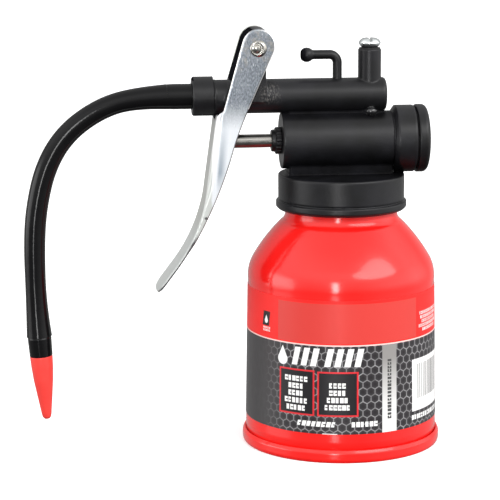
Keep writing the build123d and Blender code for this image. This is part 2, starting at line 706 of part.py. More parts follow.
def make_nozzle_tip():
    """Tapered red nozzle with a rounded tip and a small outlet."""
    end = NOZZLE_LENGTH
    return lathe_nozzle([
        (1.4, 0), (5.05, 0), (4.85, 5.0), (4.35, 11.0), (3.55, 17.0), (2.8, 22.5), (2.2, 26.8),
        (1.85, 28.1), (1.2, 28.9), (0.6, end), (0.6, end - 8.0),
    ], NOZZLE_FERRULE_LENGTH)


PARTS = {
    "can_body": make_can_body,
    "can_base": make_can_base,
    "label_wrap": make_label,
    "neck_gasket": make_neck_gasket,
    "pump_body": make_pump_body,
    "hang_hook": make_hang_hook,
    "trigger": make_trigger,
    "pivot_rivet": make_pivot_rivet,
    "plunger_rod": make_plunger_rod,
    "piston": make_piston,
    "piston_seal": make_piston_seal,
    "piston_nut": make_piston_nut,
    "return_spring": make_return_spring,
    "gland_nut": make_gland_nut,
    "rod_seal": make_rod_seal,
    "end_cap": make_end_cap,
    "end_cap_gasket": make_end_cap_gasket,
    "inlet_seat": make_inlet_seat,
    "inlet_ball": make_inlet_ball,
    "outlet_ball": make_outlet_ball,
    "outlet_spring": make_outlet_spring,
    "valve_washer": make_valve_washer,
    "valve_screw": make_valve_screw,
    "dip_tube": make_dip_tube,
    "intake_strainer": make_intake_strainer,
    "spout_nut": make_spout_nut,
    "spout_washer": make_spout_washer,
    "hose_barb": make_hose_barb,
    "spout_ferrule": make_spout_ferrule,
    "spout_hose": make_spout_hose,
    "nozzle_ferrule": make_nozzle_ferrule,
    "nozzle_tip": make_nozzle_tip,
}


def main():
    os.makedirs("parts", exist_ok=True)
    for name, make in PARTS.items():
        export_step(make(), f"parts/{name}.step")


main()
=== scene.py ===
"""Looks of the trigger oil can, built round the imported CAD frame.

Shapes are worked out in millimetres in the frame's own axes and become metres in add_piece().
"""
import math
from functools import partialmethod

import bmesh
import bpy
import numpy as np
from mathutils import Matrix, Vector


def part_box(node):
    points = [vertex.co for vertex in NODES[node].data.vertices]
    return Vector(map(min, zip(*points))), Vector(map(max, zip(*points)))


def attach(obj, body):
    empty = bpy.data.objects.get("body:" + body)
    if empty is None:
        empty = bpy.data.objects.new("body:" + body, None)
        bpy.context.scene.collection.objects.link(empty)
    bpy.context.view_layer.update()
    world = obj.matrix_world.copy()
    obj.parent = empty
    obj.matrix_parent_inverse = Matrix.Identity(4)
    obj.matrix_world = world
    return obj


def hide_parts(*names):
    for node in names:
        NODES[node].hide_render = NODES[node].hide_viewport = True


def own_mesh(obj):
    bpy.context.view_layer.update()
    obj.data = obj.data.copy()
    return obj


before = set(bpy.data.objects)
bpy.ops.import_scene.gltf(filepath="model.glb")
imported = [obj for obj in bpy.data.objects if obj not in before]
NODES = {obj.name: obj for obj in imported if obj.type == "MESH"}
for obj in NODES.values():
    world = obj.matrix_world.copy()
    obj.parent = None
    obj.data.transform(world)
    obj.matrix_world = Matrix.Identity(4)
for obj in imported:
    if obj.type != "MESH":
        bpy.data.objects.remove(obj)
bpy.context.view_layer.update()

MM = 0.001


def corners(node):
    """Lowest and highest corner of a CAD node, in millimetres."""
    low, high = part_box(node)
    return np.array(low) / MM, np.array(high) / MM


def centre(node):
    low, high = corners(node)
    return (low + high) / 2


# ------------------------------ sizes in millimetres

SPOUT_Z = centre("spout_ferrule")[2]  # axis of the spout nut and the hose's root
PUMP_Z = centre("piston")[2]  # axis of the pump cylinder
PIVOT_X, PIVOT_Z = centre("pivot_rivet")[[0, 2]]
VALVE_X = centre("valve_screw")[0]
PUMP_FRONT_X = -27.0
CAP_BOTTOM_Z = corners("pump_body")[0][2]
CAP_TOP_Z = CAP_BOTTOM_Z + 15.6
FLANGE_TOP_Z = CAP_BOTTOM_Z + 3.7
CAP_RADIUS = 28.1
FLANGE_RADIUS = corners("pump_body")[1][1]
BARREL_Z = SPOUT_Z - 0.4
BARREL_RADIUS = 7.55
BARREL_FRONT_X = corners("spout_nut")[1][0] + 0.2
BARREL_REAR_X = VALVE_X + 7.1
POST_RADIUS = 5.1
BOSS_PLACE = (VALVE_X, -6.3, 149.7)  # small boss where the post meets the barrel
POST_TOP_Z = corners("valve_washer")[0][2]
PUMP_RADIUS = 12.5
RING_RADIUS = 14.9
RING_X = 22.4
RING_END_X = corners("pump_body")[1][0]
NECK_TOP_Z = corners("neck_gasket")[0][2]
NECK_RADIUS = 25.0
WALL_BOTTOM_RADIUS = 43.0
WALL_TOP_RADIUS = 41.8
WALL_TOP_Z = 74.0
SHEET = 0.6
SEAM_RADIUS = corners("can_base")[1][0]
SEAM_TOP_Z = corners("can_base")[1][2]
LABEL_BOTTOM_Z = corners("label_wrap")[0][2]
LABEL_TOP_Z = corners("label_wrap")[1][2]

HEAD_RADIUS = 7.2  # round head of the cheeks
HEAD_X, HEAD_Z = -37.7, 179.7
TRIGGER_HALF = corners("trigger")[1][1]
TRIGGER_SHEET = 1.2
FRONT_LEAN = math.radians(15.8)
REAR_LEAN = math.radians(24.0)
REAR_EDGE = [(-43.0, 150.0), (-46.6, 140.85), (-49.6, 131.5), (-56.7, 111.8), (-66.0, 93.0)]
WEB_TOP_Z = 149.2  # the web's upper corners; its middle clears the nut and nub
KNEE_X, KNEE_Z = -60.8, 116.0
WEB_LEAN = math.radians(7.9)
GRIP_RADIUS = 72.0
GRIP_LEAN = math.radians(37.0)
GRIP_END = 14.5  # length of the grip's straight end
TIP_ROUNDING = 6.0
CHANNEL_TURN = math.radians(12.0)  # how far round the grip the channel's hollow runs
BEND = 2.4  # radius of the near bend between web and cheek, which grows
BEND_LOW_Z, BEND_HIGH_Z = 103.0, 122.0  # from nothing to all of it between these heights
PIN_RADIUS = 2.5  # shank of the rivet
GRIP_CENTRE = (KNEE_X - GRIP_RADIUS * math.cos(WEB_LEAN), KNEE_Z + GRIP_RADIUS * math.sin(WEB_LEAN))

LUG_HALF = 8.5
LUG_RADIUS = 7.0
LUG_FRONT_LEAN = math.radians(16.8)
LUG_REAR_LEAN = math.radians(21.0)
LUG_HEEL_X, LUG_HEEL_Z = -34.3, 169.0

HOOK_X = corners("hang_hook")[1][0] - 2.05
HOOK_FOOT_Z, HOOK_LEG_Z = 161.0, 174.4
HOOK_RADIUS = 2.05
HOOK_BEND = 3.6
HOOK_BALL_RADIUS = 3.2
HOOK_BALL_X = corners("hang_hook")[0][0] + HOOK_BALL_RADIUS

HOSE_DIAMETER = 9.5
HOSE_ROUTE = [  # x, z and the hose's diameter there, in the plane y = 0
    (-77.5, 156.9, 11.1), (-92.2, 156.6, 9.4), (-107.4, 152.0, 9.3), (-121.9, 141.6, 9.4),
    (-130.9, 127.3, 9.5), (-135.4, 109.1, 9.5), (-136.8, 92.2, 9.5), (-136.45, 66.0, 9.0),
    (-135.4, 50.9, 11.3),
]
NOZZLE_SLEEVE = 9.0  # length of the black sleeve behind the nozzle
UPRIGHT = (0, 0, 1)


# ------------------------------ camera

CAMERA_PLACE = (-142.72, -970.20, 275.08)
CAMERA_LENS = 160.25  # for a sensor 36 wide
CAMERA_AZIMUTH = math.radians(-5.987)
CAMERA_DIP = math.radians(10.883)
CAMERA_ROLL = math.radians(-0.267)


def make_camera():
    data = bpy.data.cameras.new("camera")
    data.lens = CAMERA_LENS
    data.clip_start, data.clip_end = 0.05, 50.0
    camera = bpy.data.objects.new("camera", data)
    turn = Matrix.Rotation(CAMERA_AZIMUTH, 4, "Z") @ Matrix.Rotation(math.pi / 2 - CAMERA_DIP, 4, "X")
    turn = turn @ Matrix.Rotation(CAMERA_ROLL, 4, "Z")
    camera.matrix_world = Matrix.Translation(Vector(CAMERA_PLACE) * MM) @ turn
    bpy.context.scene.collection.objects.link(camera)
    bpy.context.scene.camera = camera


# ------------------------------ node arithmetic for materials


def feed(tree, slot, value):
    """Links a field or a socket to a node's input, or sets a plain value. A colour is three numbers."""
    if isinstance(value, Field):
        value = value.socket
    if isinstance(value, bpy.types.NodeSocket):
        tree.links.new(value, slot)
    else:
        slot.default_value = (*value, 1.0) if slot.type == "RGBA" else value


def add_node(tree, kind, inputs, output=0, **settings):
    """The output of a new shader node, with its inputs by name or number."""
    node = tree.nodes.new("ShaderNode" + kind)
    for name, value in settings.items():
        setattr(node, name, value)
    for slot, value in inputs.items():
        feed(tree, node.inputs[slot], value)
    return node.outputs[output]


def split(tree, vector):
    """The three parts of a vector."""
    node = tree.nodes.new("ShaderNodeSeparateXYZ")
    feed(tree, node.inputs[0], vector)
    return [Field(tree, output) for output in node.outputs]


class Field:
    """A number that varies over a surface, so that node arithmetic reads as a formula."""

    def __init__(self, tree, socket):
        self.tree, self.socket = tree, socket

    def math(self, operation, *others):
        inputs = dict(enumerate((self, *others)))
        return Field(self.tree, add_node(self.tree, "Math", inputs, operation=operation))

    __add__ = partialmethod(math, "ADD")
    __sub__ = partialmethod(math, "SUBTRACT")
    __mul__ = partialmethod(math, "MULTIPLY")
    __truediv__ = partialmethod(math, "DIVIDE")
    __neg__ = partialmethod(math, "MULTIPLY", -1.0)
    __abs__ = partialmethod(math, "ABSOLUTE")
    __mod__ = partialmethod(math, "FLOORED_MODULO")
    floor = partialmethod(math, "FLOOR")
    least = partialmethod(math, "MINIMUM")
    most = partialmethod(math, "MAXIMUM")
    above = partialmethod(math, "GREATER_THAN")
    below = partialmethod(math, "LESS_THAN")

    def ramp(self, low, high):
        """0 at low, 1 at high, straight in between."""
        inputs = {"Value": self, "From Min": low, "From Max": high}
        return Field(self.tree, add_node(self.tree, "MapRange", inputs, "Result"))

    def between(self, low, high):
        return self.above(low) * self.below(high)


class Surface:
    """A material with its Principled shader, and the object's own coordinates in millimetres."""

    def __init__(self, name, colour, roughness, metallic=0.0, **sockets):
        self.material = bpy.data.materials.new(name)
        self.material.use_nodes = True
        self.tree = self.material.node_tree
        self.shader = self.tree.nodes["Principled BSDF"]
        self.shader.inputs["Base Color"].default_value = (*colour, 1.0)
        self.shader.inputs["Roughness"].default_value = roughness
        self.shader.inputs["Metallic"].default_value = metallic
        for socket, value in sockets.items():
            self.shader.inputs[socket.replace("_", " ")].default_value = value
        place = self.tree.nodes.new("ShaderNodeTexCoord")
        inputs = {0: place.outputs["Object"], "Scale": 1 / MM}
        self.place = add_node(self.tree, "VectorMath", inputs, operation="SCALE")
        self.x, self.y, self.z = split(self.tree, self.place)
        self.rearward, self.leftward = split(self.tree, place.outputs["Normal"])[:2]

    def vector(self, x, y, z=0.0):
        return add_node(self.tree, "CombineXYZ", {0: x, 1: y, 2: z})

    def stretched(self, *factors):
        """Coordinates multiplied along each axis."""
        return add_node(self.tree, "VectorMath", {0: self.place, 1: factors}, operation="MULTIPLY")

    def noise(self, size, detail=2.0, at=None):
        """Smooth noise from 0 to 1, with features about size millimetres wide."""
        inputs = {"Vector": at or self.place, "Scale": 1 / size, "Detail": detail}
        return Field(self.tree, add_node(self.tree, "TexNoise", inputs, "Fac"))

    def chance(self, x, y, seed=0.0):
        """An even random number from 0 to 1 for each whole x and y."""
        inputs = {"Vector": self.vector(x, y, seed)}
        return Field(self.tree, add_node(self.tree, "TexWhiteNoise", inputs, "Value", noise_dimensions="3D"))

    def mix(self, share, first, second):
        """Colour from first to second, by share. A colour is a socket or three numbers."""
        return add_node(self.tree, "Mix", {"Factor": share, 6: first, 7: second}, 2, data_type="RGBA")

    def drive(self, socket, value):
        """A socket of the shader follows a field or a colour."""
        feed(self.tree, self.shader.inputs[socket], value)

    paint = partialmethod(drive, "Base Color")
    rough = partialmethod(drive, "Roughness")
    shine = partialmethod(drive, "Specular IOR Level")

    def bump(self, height, depth):
        """Relief of depth millimetres where height goes from 0 to 1."""
        inputs = {"Strength": 1.0, "Distance": depth * MM, "Height": height}
        self.drive("Normal", add_node(self.tree, "Bump", inputs, "Normal"))


# ------------------------------ materials


RED = (0.86, 0.013, 0.010)
DEEP_RED = (0.78, 0.008, 0.007)
CORAL = (0.60, 0.048, 0.039)
INK = (0.010, 0.009, 0.011)
CHARCOAL = (0.050, 0.047, 0.049)
DARK_SPOT_PLACE = (-61.3, 104.0)  # x and z of a small dark spot on the trigger's edge
WHITE = (0.86, 0.85, 0.84)


def red_enamel():
    """Gloss enamel with a faint orange peel, a little uneven in tone."""
    s = Surface("red_enamel", RED, 0.16, Specular_IOR_Level=0.35, Coat_Weight=0.25, Coat_Roughness=0.05)
    cloud = s.noise(30.0)
    s.paint(s.mix(cloud.ramp(0.35, 0.7), RED, DEEP_RED))
    s.rough(s.noise(4.0, 4.0) * 0.10 + 0.13)
    s.bump(s.noise(2.2, 3.0), 0.010)
    return s.material


def satin_black():
    """Cast body in satin black: fine grain, and scuffs where the trigger rubs the barrel."""
    s = Surface("satin_black", (0.006, 0.006, 0.007), 0.42)
    cloud = s.noise(14.0, 3.0)
    scratch = s.noise(0.5, 6.0, at=s.stretched(1.0, 0.3, 0.45))
    beside_lever = s.x.ramp(-38.0, -35.5) * s.x.ramp(-27.0, -31.5)
    on_barrel = s.z.ramp(153.0, 156.5) * s.z.ramp(163.5, 159.5)
    scuff = scratch.ramp(0.48, 0.72) * beside_lever * on_barrel
    fleck = s.noise(0.7, 2.0).ramp(0.75, 0.80)
    base = s.mix(cloud.ramp(0.35, 0.65), (0.0035, 0.0035, 0.0038), (0.0085, 0.0085, 0.0105))
    base = s.mix(fleck * 0.4, base, (0.05, 0.05, 0.05))
    s.paint(s.mix(scuff * 0.8, base, (0.16, 0.15, 0.14)))
    x, y, z = (value - middle for value, middle in zip((s.x, s.y, s.z), BOSS_PLACE))
    glint = (x * x + y * y + z * z).ramp(9.0, 4.0)
    under_barrel = s.z.ramp(PUMP_Z + PUMP_RADIUS - 3.0, PUMP_Z + PUMP_RADIUS - 0.5)
    under_barrel = under_barrel * s.z.below(BARREL_Z - BARREL_RADIUS + 0.6) * s.x.below(RING_X)
    # Painted shade: reflections are taken off the lug's front faces above the barrel.
    lug_front_shade = s.rearward.ramp(0.0, -0.35) * s.z.above(BARREL_Z + BARREL_RADIUS) * s.x.below(HOOK_BALL_X)
    under_cylinder = s.z.ramp(CAP_TOP_Z + 8.0, CAP_TOP_Z + 4.0) * s.z.above(CAP_TOP_Z - 0.1)
    over_cap = s.z.between(CAP_TOP_Z - 0.2, CAP_TOP_Z + 0.2) * (s.x * s.x + s.y * s.y).below(22.0**2)
    shade = under_barrel.most(under_cylinder).most(over_cap) * (-glint + 1.0)
    s.shine((-shade * 0.85 + 1.0) * (-lug_front_shade + 1.0) * 0.30 + glint * 0.4)
    s.rough((cloud * 0.12 + s.noise(0.8, 4.0) * 0.14 + 0.25) * (-glint * 0.5 + 1.0))
    s.bump(s.noise(0.55, 5.0), 0.030)
    return s.material


def black_rubber():
    s = Surface("black_rubber", (0.006, 0.006, 0.006), 0.75)
    s.paint(s.mix(s.noise(3.0), (0.004, 0.004, 0.005), (0.009, 0.009, 0.009)))
    s.bump(s.noise(0.4, 4.0), 0.020)
    return s.material


def zinc_plate():
    """Zinc on press-formed steel: fine mottled blue-grey spangle at the top, a pale matt reflection painted
    below, and painted shade and highlights along the bend and edges.
    """
    s = Surface("zinc_plate", (0.68, 0.71, 0.75), 0.33, metallic=1.0)
    streak = s.noise(0.55, 3.0, at=s.stretched(1.0, 1.0, 0.30))
    spangle = s.noise(0.55, 5.0, at=s.stretched(1.0, 1.0, 0.55)) * 0.8 + s.noise(4.0) * 0.2
    tint = s.mix(spangle.ramp(0.36, 0.64), (0.16, 0.18, 0.210), (0.34, 0.37, 0.405))
    tint = s.mix(streak.ramp(0.60, 0.74) * 0.7, tint, (0.82, 0.84, 0.86))
    stain = s.noise(2.2, 3.0).ramp(0.50, 0.66) * s.z.ramp(166.0, 174.0) * 0.5
    tint = s.mix(stain, tint, (0.44, 0.41, 0.36))
    # Painted reflection: the lower cheeks turn a pale matt tone, and less metallic, below this height.
    pale_reflection = s.z.ramp(155.0, 143.0)
    tint = s.mix(pale_reflection * 0.86, tint, (0.76, 0.79, 0.82))
    depth = s.x - KNEE_X - (s.z - KNEE_Z) * math.tan(WEB_LEAN)
    past_bend = depth - (-s.z + WEB_TOP_Z) * 0.045 - 2.7
    # Painted shade: a blue-grey stripe along the cheek just past the bend.
    bend_shade = past_bend.ramp(-0.6, 0.3) * past_bend.ramp(3.5, 1.2)
    bend_shade = bend_shade * s.z.ramp(150.0, 125.0) * s.z.ramp(115.0, 124.0)
    tint = s.mix(bend_shade * 0.9, tint, (0.24, 0.29, 0.34))
    bent = s.z.ramp(BEND_LOW_Z, BEND_HIGH_Z) * BEND
    web = (s.y + TRIGGER_HALF - bent).ramp(0.1, 0.7)
    inner_web = s.y.ramp(-8.0, -5.5).most(s.z.ramp(128.0, 114.0))
    # Painted shade: the web is painted a darker grey than the cheeks, as the face turned down and forward.
    web_shade_tint = s.mix(inner_web, (0.50, 0.49, 0.45), (0.48, 0.49, 0.46))
    tint = s.mix(web, tint, web_shade_tint)
    tint = s.mix(s.z.ramp(104.0, 92.0), tint, (0.56, 0.58, 0.565))
    # Painted highlight: edges facing forward are painted white.
    tint = s.mix(s.rearward.ramp(-0.25, -0.6) * (-web + 1.0), tint, (1.0, 1.0, 1.0))
    end_x, end_z = grip_point(0, GRIP_LEAN)
    out_x, out_z = s.x - GRIP_CENTRE[0], s.z - GRIP_CENTRE[1]
    behind_arc = (out_x * out_x + out_z * out_z - GRIP_RADIUS**2) / (2 * GRIP_RADIUS)
    behind_face = depth * s.z.above(KNEE_Z) + behind_arc * s.z.below(KNEE_Z)
    run_back = s.z.ramp(137.0, 112.0) * 2.6 + s.z.ramp(112.0, 103.0) * 3.0
    # Painted shade: a grey band on the near cheek along its front edge, on the lower part of the lever.
    front_edge_shade = (behind_face - run_back).ramp(0.4, -0.4) * s.leftward.ramp(-0.1, -0.5)
    tint = s.mix(front_edge_shade * s.z.ramp(137.0, 132.0), tint, (0.50, 0.52, 0.50))
    on_arc = behind_arc.above(0.45) * s.z.above(end_z)
    on_end = ((s.x - end_x) * math.cos(GRIP_LEAN) - (s.z - end_z) * math.sin(GRIP_LEAN)).above(0.45)
    near_side = s.leftward.ramp(-0.5, -0.8) * s.z.ramp(97.0, 93.0)
    rear_edge_shade_and_highlight = s.rearward.ramp(0.15, 0.45).most(near_side * on_arc.most(on_end * s.z.below(end_z)))
    # Rear-facing edges: a painted highlight (white) above this height, painted shade (near black) below it.
    tint = s.mix(rear_edge_shade_and_highlight * s.z.above(152.0), tint, (1.0, 1.0, 1.0))
    tint = s.mix(rear_edge_shade_and_highlight * s.z.below(152.0), tint, (0.07, 0.07, 0.075))
    # Dark worn specks low on the cheeks, and a small dark spot on the edge.
    worn_specks_and_spot = s.noise(0.7, 3.0).ramp(0.68, 0.76) * s.z.ramp(128.0, 118.0) * 0.25
    spot_x, spot_z = s.x - DARK_SPOT_PLACE[0], s.z - DARK_SPOT_PLACE[1]
    worn_specks_and_spot = worn_specks_and_spot.most((spot_x * spot_x + spot_z * spot_z).ramp(0.7, 0.2))
    s.paint(s.mix(worn_specks_and_spot, tint, (0.08, 0.08, 0.08)))
    s.rough(spangle.ramp(0.3, 0.7) * 0.12 + streak * 0.10 + 0.24)
    # The cheeks turn less metallic where the pale reflection is painted.
    s.drive("Metallic", pale_reflection * -0.75 + 1.0)
    s.bump(spangle * 0.6 + streak * 0.4, 0.012)
    return s.material


def clouded_metal(name, colour, first, second, roughness, cloud=(1.6, 3.0), uneven=(0.12, 0.14)):
    """Plating or brass, a little uneven in tone and gloss."""
    s = Surface(name, colour, roughness, metallic=1.0)
    cloud = s.noise(*cloud)
    s.paint(s.mix(cloud, first, second))
    s.rough(cloud * uneven[0] + uneven[1])
    return s.material


def plated_steel(name, bright, dull):
    return clouded_metal(name, bright, bright, dull, 0.22)


def drawn_steel(name, colour, along=(0.04, 1.0, 1.0)):
    """Steel bar or wire with fine lines along it."""
    s = Surface(name, colour, 0.28, metallic=1.0)
    lines = s.noise(0.25, 4.0, at=s.stretched(*along))
    darker = tuple(channel * 0.62 for channel in colour)
    s.paint(s.mix(lines.ramp(0.3, 0.7), darker, colour))
    s.rough(lines * 0.22 + 0.18)
    s.bump(lines, 0.006)
    return s.material


def brass():
    return clouded_metal(
        "brass", (0.80, 0.58, 0.27), (0.56, 0.38, 0.17), (0.86, 0.64, 0.32), 0.3, (2.5, 4.0), (0.2, 0.2))


def clear_plastic():
    s = Surface("clear_plastic", (0.86, 0.88, 0.86), 0.25, Transmission_Weight=0.8, IOR=1.49)
    s.rough(s.noise(3.0) * 0.2 + 0.12)
    return s.material


def hose_black():
    """Gloss black flexible hose, a little uneven to the touch."""
    s = Surface("hose_black", (0.003, 0.003, 0.0035), 0.20, Specular_IOR_Level=0.20)
    cloud = s.noise(7.0, 3.0)
    s.paint(s.mix(cloud, (0.0022, 0.0022, 0.0026), (0.0045, 0.0045, 0.005)))
    s.rough(cloud * 0.08 + s.noise(0.6, 3.0) * 0.05 + 0.05)
    s.bump(s.noise(5.0, 2.0) * 0.8 + s.noise(0.7, 3.0) * 0.2, 0.09)
    return s.material


def red_plastic():
    """Soft moulded plastic of the nozzle."""
    s = Surface("red_plastic", (0.84, 0.046, 0.035), 0.42)
    cloud = s.noise(5.0, 3.0)
    s.paint(s.mix(cloud, (0.79, 0.038, 0.030), (0.88, 0.054, 0.041)))
    s.rough(s.noise(1.2, 4.0) * 0.2 + 0.34)
    s.bump(s.noise(0.8, 3.0), 0.012)
    return s.material


# ------------------------------ printed label

HEX_PITCH = 3.65
LABEL_RADIUS = 42.6  # at the middle of the band
LINE_Z = 52.25  # white line between the red panel and the dark band
FRAME_LINE = 0.75  # width of the red frames
ROW_PITCH = 3.25  # from one row of bars in a frame to the next
FRAMES = (  # left, right, low, high, rows of bars, top of the first row
    (-35.0, -17.7, 20.7, 41.1, 5, 38.4), (-16.4, 1.7, 20.7, 40.7, 4, 36.2),
)
SMALL_PRINT = (  # left, right, low, high, rows, pitch, seed, lean, strength
    (-29.0, -4.4, 15.6, 18.8, 1, 2.2, 4.0, 0.25, 1.0), (-2.6, 12.0, 15.6, 18.8, 1, 2.0, 9.0, 0.0, 1.0),
    (28.4, 55.0, 15.4, 18.4, 1, 1.7, 2.0, 0.0, 1.0), (32.7, 56.0, 54.5, 64.0, 5, 1.2, 5.0, 0.0, 0.75),
    (-46.8, -40.2, 55.2, 57.6, 2, 1.0, 3.0, 0.0, 0.8), (112.0, 150.0, 24.0, 46.0, 8, 1.9, 6.0, 0.0, 0.8),
)


def box_mask(u, v, u0, u1, v0, v1):
    return u.between(u0, u1) * v.between(v0, v1)


def slant_box(u, v, u0, u1, v0, v1, lean=0.22):
    """Box whose sides lean to the right."""
    return box_mask(u - (v - v0) * lean, v, u0, u1, v0, v1)


def hex_mesh(u, v):
    """Height of a honeycomb: 0 in the middle of a cell, 1 on its wires."""
    row = HEX_PITCH * math.sqrt(3.0)
    first_u = u % HEX_PITCH - HEX_PITCH / 2
    first_v = v % row - row / 2
    second_u = (u + HEX_PITCH / 2) % HEX_PITCH - HEX_PITCH / 2
    second_v = (v + row / 2) % row - row / 2
    first = abs(first_u).most(abs(first_u) * 0.5 + abs(first_v) * 0.866)
    second = abs(second_u).most(abs(second_u) * 0.5 + abs(second_v) * 0.866)
    return first.least(second) / (HEX_PITCH / 2)


def blocks(s, u, v, u0, u1, v0, v1, rows, pitch, seed, lean=0.0):
    """Rows of short plain bars in a box. Each row is centred and holds its own whole number of bars."""
    step = (v1 - v0) / rows
    row = ((v - v0) / step).floor()
    height = (v - v0) / step - row
    most = int((u1 - u0) / pitch)
    number = (s.chance(row, 0.5, seed) * 0.45 * most + 0.60 * most).floor()
    along = (u - (u0 + u1) / 2 - (height - 0.5) * step * lean) / pitch + number / 2
    index = along.floor()
    width = s.chance(index, row + 7.0, seed) * 0.26 + 0.62
    bar = (along - index).below(width) * height.between(0.14, 0.86)
    slit = height.between(0.42, 0.56) * s.chance(index, row + 3.0, seed + 5.0).above(0.45)
    slit = slit * (along - index).above(s.chance(index, row, seed + 2.0) * 0.3 + 0.1)
    bar = bar * (-slit + 1.0)
    return bar * index.between(-0.5, number - 0.5) * v.between(v0, v1)


def drop_shape(u, v, u0, v0, radius):
    """Oil drop: a round bowl that narrows to a point above it."""
    across = abs(u - u0) / radius
    up = (v - v0) / radius
    bowl = (across * across + up * up).below(1.0)
    point = (across - (-up + 2.3) * 0.47).below(0.0) * up.between(0.42, 2.3)
    return bowl.most(point)


def label_print():
    """Printed wrap: red panel above, dark honeycomb band below, and plain generic graphics."""
    s = Surface("label_print", RED, 0.40, Specular_IOR_Level=0.3)
    angle = s.x.math("ARCTAN2", -s.y)
    u, v = angle * LABEL_RADIUS, s.z
    fade = u.ramp(-44.0, -30.0) * u.ramp(112.0, 98.0)
    wire = hex_mesh(u, v)
    glint = s.noise(5.0, 3.0, at=s.vector(u, v)).ramp(0.30, 0.70) * 0.75 + 0.25
    grain = s.noise(0.9, 3.0, at=s.stretched(1.0, 1.0, 0.25))
    band = s.mix(grain.ramp(0.3, 0.7), (0.040, 0.037, 0.038), CHARCOAL)
    cell = s.mix(wire.ramp(0.2, 0.95), (0.016, 0.014, 0.016), (0.040, 0.036, 0.039))
    mesh = s.mix(wire.ramp(0.84, 0.97) * glint * 0.75, cell, (0.50, 0.49, 0.50))
    colour = s.mix(fade, band, mesh)

    upper = v.above(LINE_Z)
    panel = box_mask(u, v, -36.2, 32.0, LINE_Z + 0.8, LABEL_TOP_Z - 1.4)
    colour = s.mix(upper, colour, RED)
    colour = s.mix(panel * 0.9, colour, CORAL)
    colour = s.mix(abs(v - LINE_Z).below(0.28), colour, (0.88, 0.60, 0.56))

    title = drop_shape(u, v, -33.4, 44.9, 2.6)
    for first, count in ((-28.6, 3), (-13.4, 4)):
        for number in range(count):
            left = first + 4.4 * number
            title = title.most(slant_box(u, v, left, left + 2.7, 42.9, 50.9))
    colour = s.mix(title, colour, WHITE)

    for left, right, low, high, rows, top in FRAMES:
        outer = box_mask(u, v, left, right, low, high)
        inner = box_mask(u, v, left + FRAME_LINE, right - FRAME_LINE, low + FRAME_LINE, high - FRAME_LINE)
        edge = 2 * FRAME_LINE
        text = blocks(s, u, v, left + edge, right - edge, top - rows * ROW_PITCH, top, rows, 1.9, left)
        colour = s.mix(outer, colour, (0.62, 0.022, 0.030))
        colour = s.mix(inner, colour, INK)
        colour = s.mix(text, colour, WHITE)

    small = box_mask(u, v, -14.1, -7.5, 12.8, 13.15)
    for *box, rows, pitch, seed, lean, strength in SMALL_PRINT:
        small = small.most(blocks(s, u, v, *box, rows, pitch, seed, lean) * strength)
    colour = s.mix(small, colour, WHITE)

    strip = box_mask(u, v, 12.6, 19.8, 0.0, LINE_Z - 0.3)
    strip_text = blocks(s, v, -u, 14.5, 50.2, -17.5, -14.8, 1, 1.6, 11.0)
    silver = s.mix(v.ramp(46.0, 20.0), (0.26, 0.25, 0.24), (0.78, 0.77, 0.76))
    colour = s.mix(strip, colour, silver)
    colour = s.mix(strip_text, colour, (0.06, 0.06, 0.06))

    ticket = box_mask(u, v, 29.2, 56.0, 19.6, 43.0)
    stripe = (u % 1.5).below(s.chance((u / 1.5).floor(), 0.5, 8.0) * 0.8 + 0.3)
    stripes = stripe * box_mask(u, v, 32.6, 53.0, 25.0, 40.6)
    colour = s.mix(ticket, colour, WHITE)
    colour = s.mix(stripes, colour, (0.16, 0.155, 0.155))

    badge = slant_box(u, v, -46.6, -42.0, 57.9, 64.3, lean=0.12)
    drop = drop_shape(u, v, -43.9, 60.1, 1.15)
    colour = s.mix(badge, colour, INK)
    colour = s.mix(drop, colour, WHITE)
    s.paint(colour)
    s.rough(s.noise(3.0, 4.0) * 0.12 + 0.34)
    s.bump(s.noise(2.4, 3.0), 0.008)
    return s.material


# ------------------------------ meshes


def show(name, data):
    """A new object of this data, linked to the scene."""
    thing = bpy.data.objects.new(name, data)
    bpy.context.scene.collection.objects.link(thing)
    return thing


def stand_for(piece, body, node):
    """A piece rides on a body and takes the place of a CAD node."""
    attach(piece, body)
    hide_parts(node)


def add_piece(name, body, material, slot, node, points, faces):
    """A smooth shaded piece from points in millimetres, which stands for a CAD node."""
    mesh = bpy.data.meshes.new(name)
    mesh.from_pydata((np.asarray(points) * MM).tolist(), [], np.asarray(faces).tolist())
    work = bmesh.new()
    work.from_mesh(mesh)
    bmesh.ops.remove_doubles(work, verts=work.verts, dist=1e-7)
    bmesh.ops.dissolve_degenerate(work, edges=work.edges, dist=1e-8)
    bmesh.ops.recalc_face_normals(work, faces=work.faces)
    work.to_mesh(mesh)
    work.free()
    mesh.shade_smooth()
    mesh.materials.append(material)
    piece = show(name, mesh)
    stand_for(piece, body, node)
    return piece


def add_spring(node):
    """A copy of a spring's node in spring steel, which takes the place of the node."""
    coil = show(node.replace("spring", "coil"), NODES[node].data.copy())
    coil.data.materials.clear()
    coil.data.materials.append(SPRING)
    stand_for(coil, "pump", node)
    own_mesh(coil)


def arc_through(start, middle, end, steps):
    """Points of the circle's arc through three points, both ends included."""
    ax, ay = start
    bx, by = middle
    cx, cy = end
    d = 2 * (ax * (by - cy) + bx * (cy - ay) + cx * (ay - by))
    ux = ((ax**2 + ay**2) * (by - cy) + (bx**2 + by**2) * (cy - ay) + (cx**2 + cy**2) * (ay - by)) / d
    uy = ((ax**2 + ay**2) * (cx - bx) + (bx**2 + by**2) * (ax - cx) + (cx**2 + cy**2) * (bx - ax)) / d
    radius = math.hypot(ax - ux, ay - uy)
    first, via, last = (math.atan2(y - uy, x - ux) for x, y in (start, middle, end))
    turn = (last - first) % (2 * math.pi)
    if (via - first) % (2 * math.pi) > turn:
        turn -= 2 * math.pi
    angles = [first + turn * index / steps for index in range(steps + 1)]
    return [(ux + radius * math.cos(angle), uy + radius * math.sin(angle)) for angle in angles]


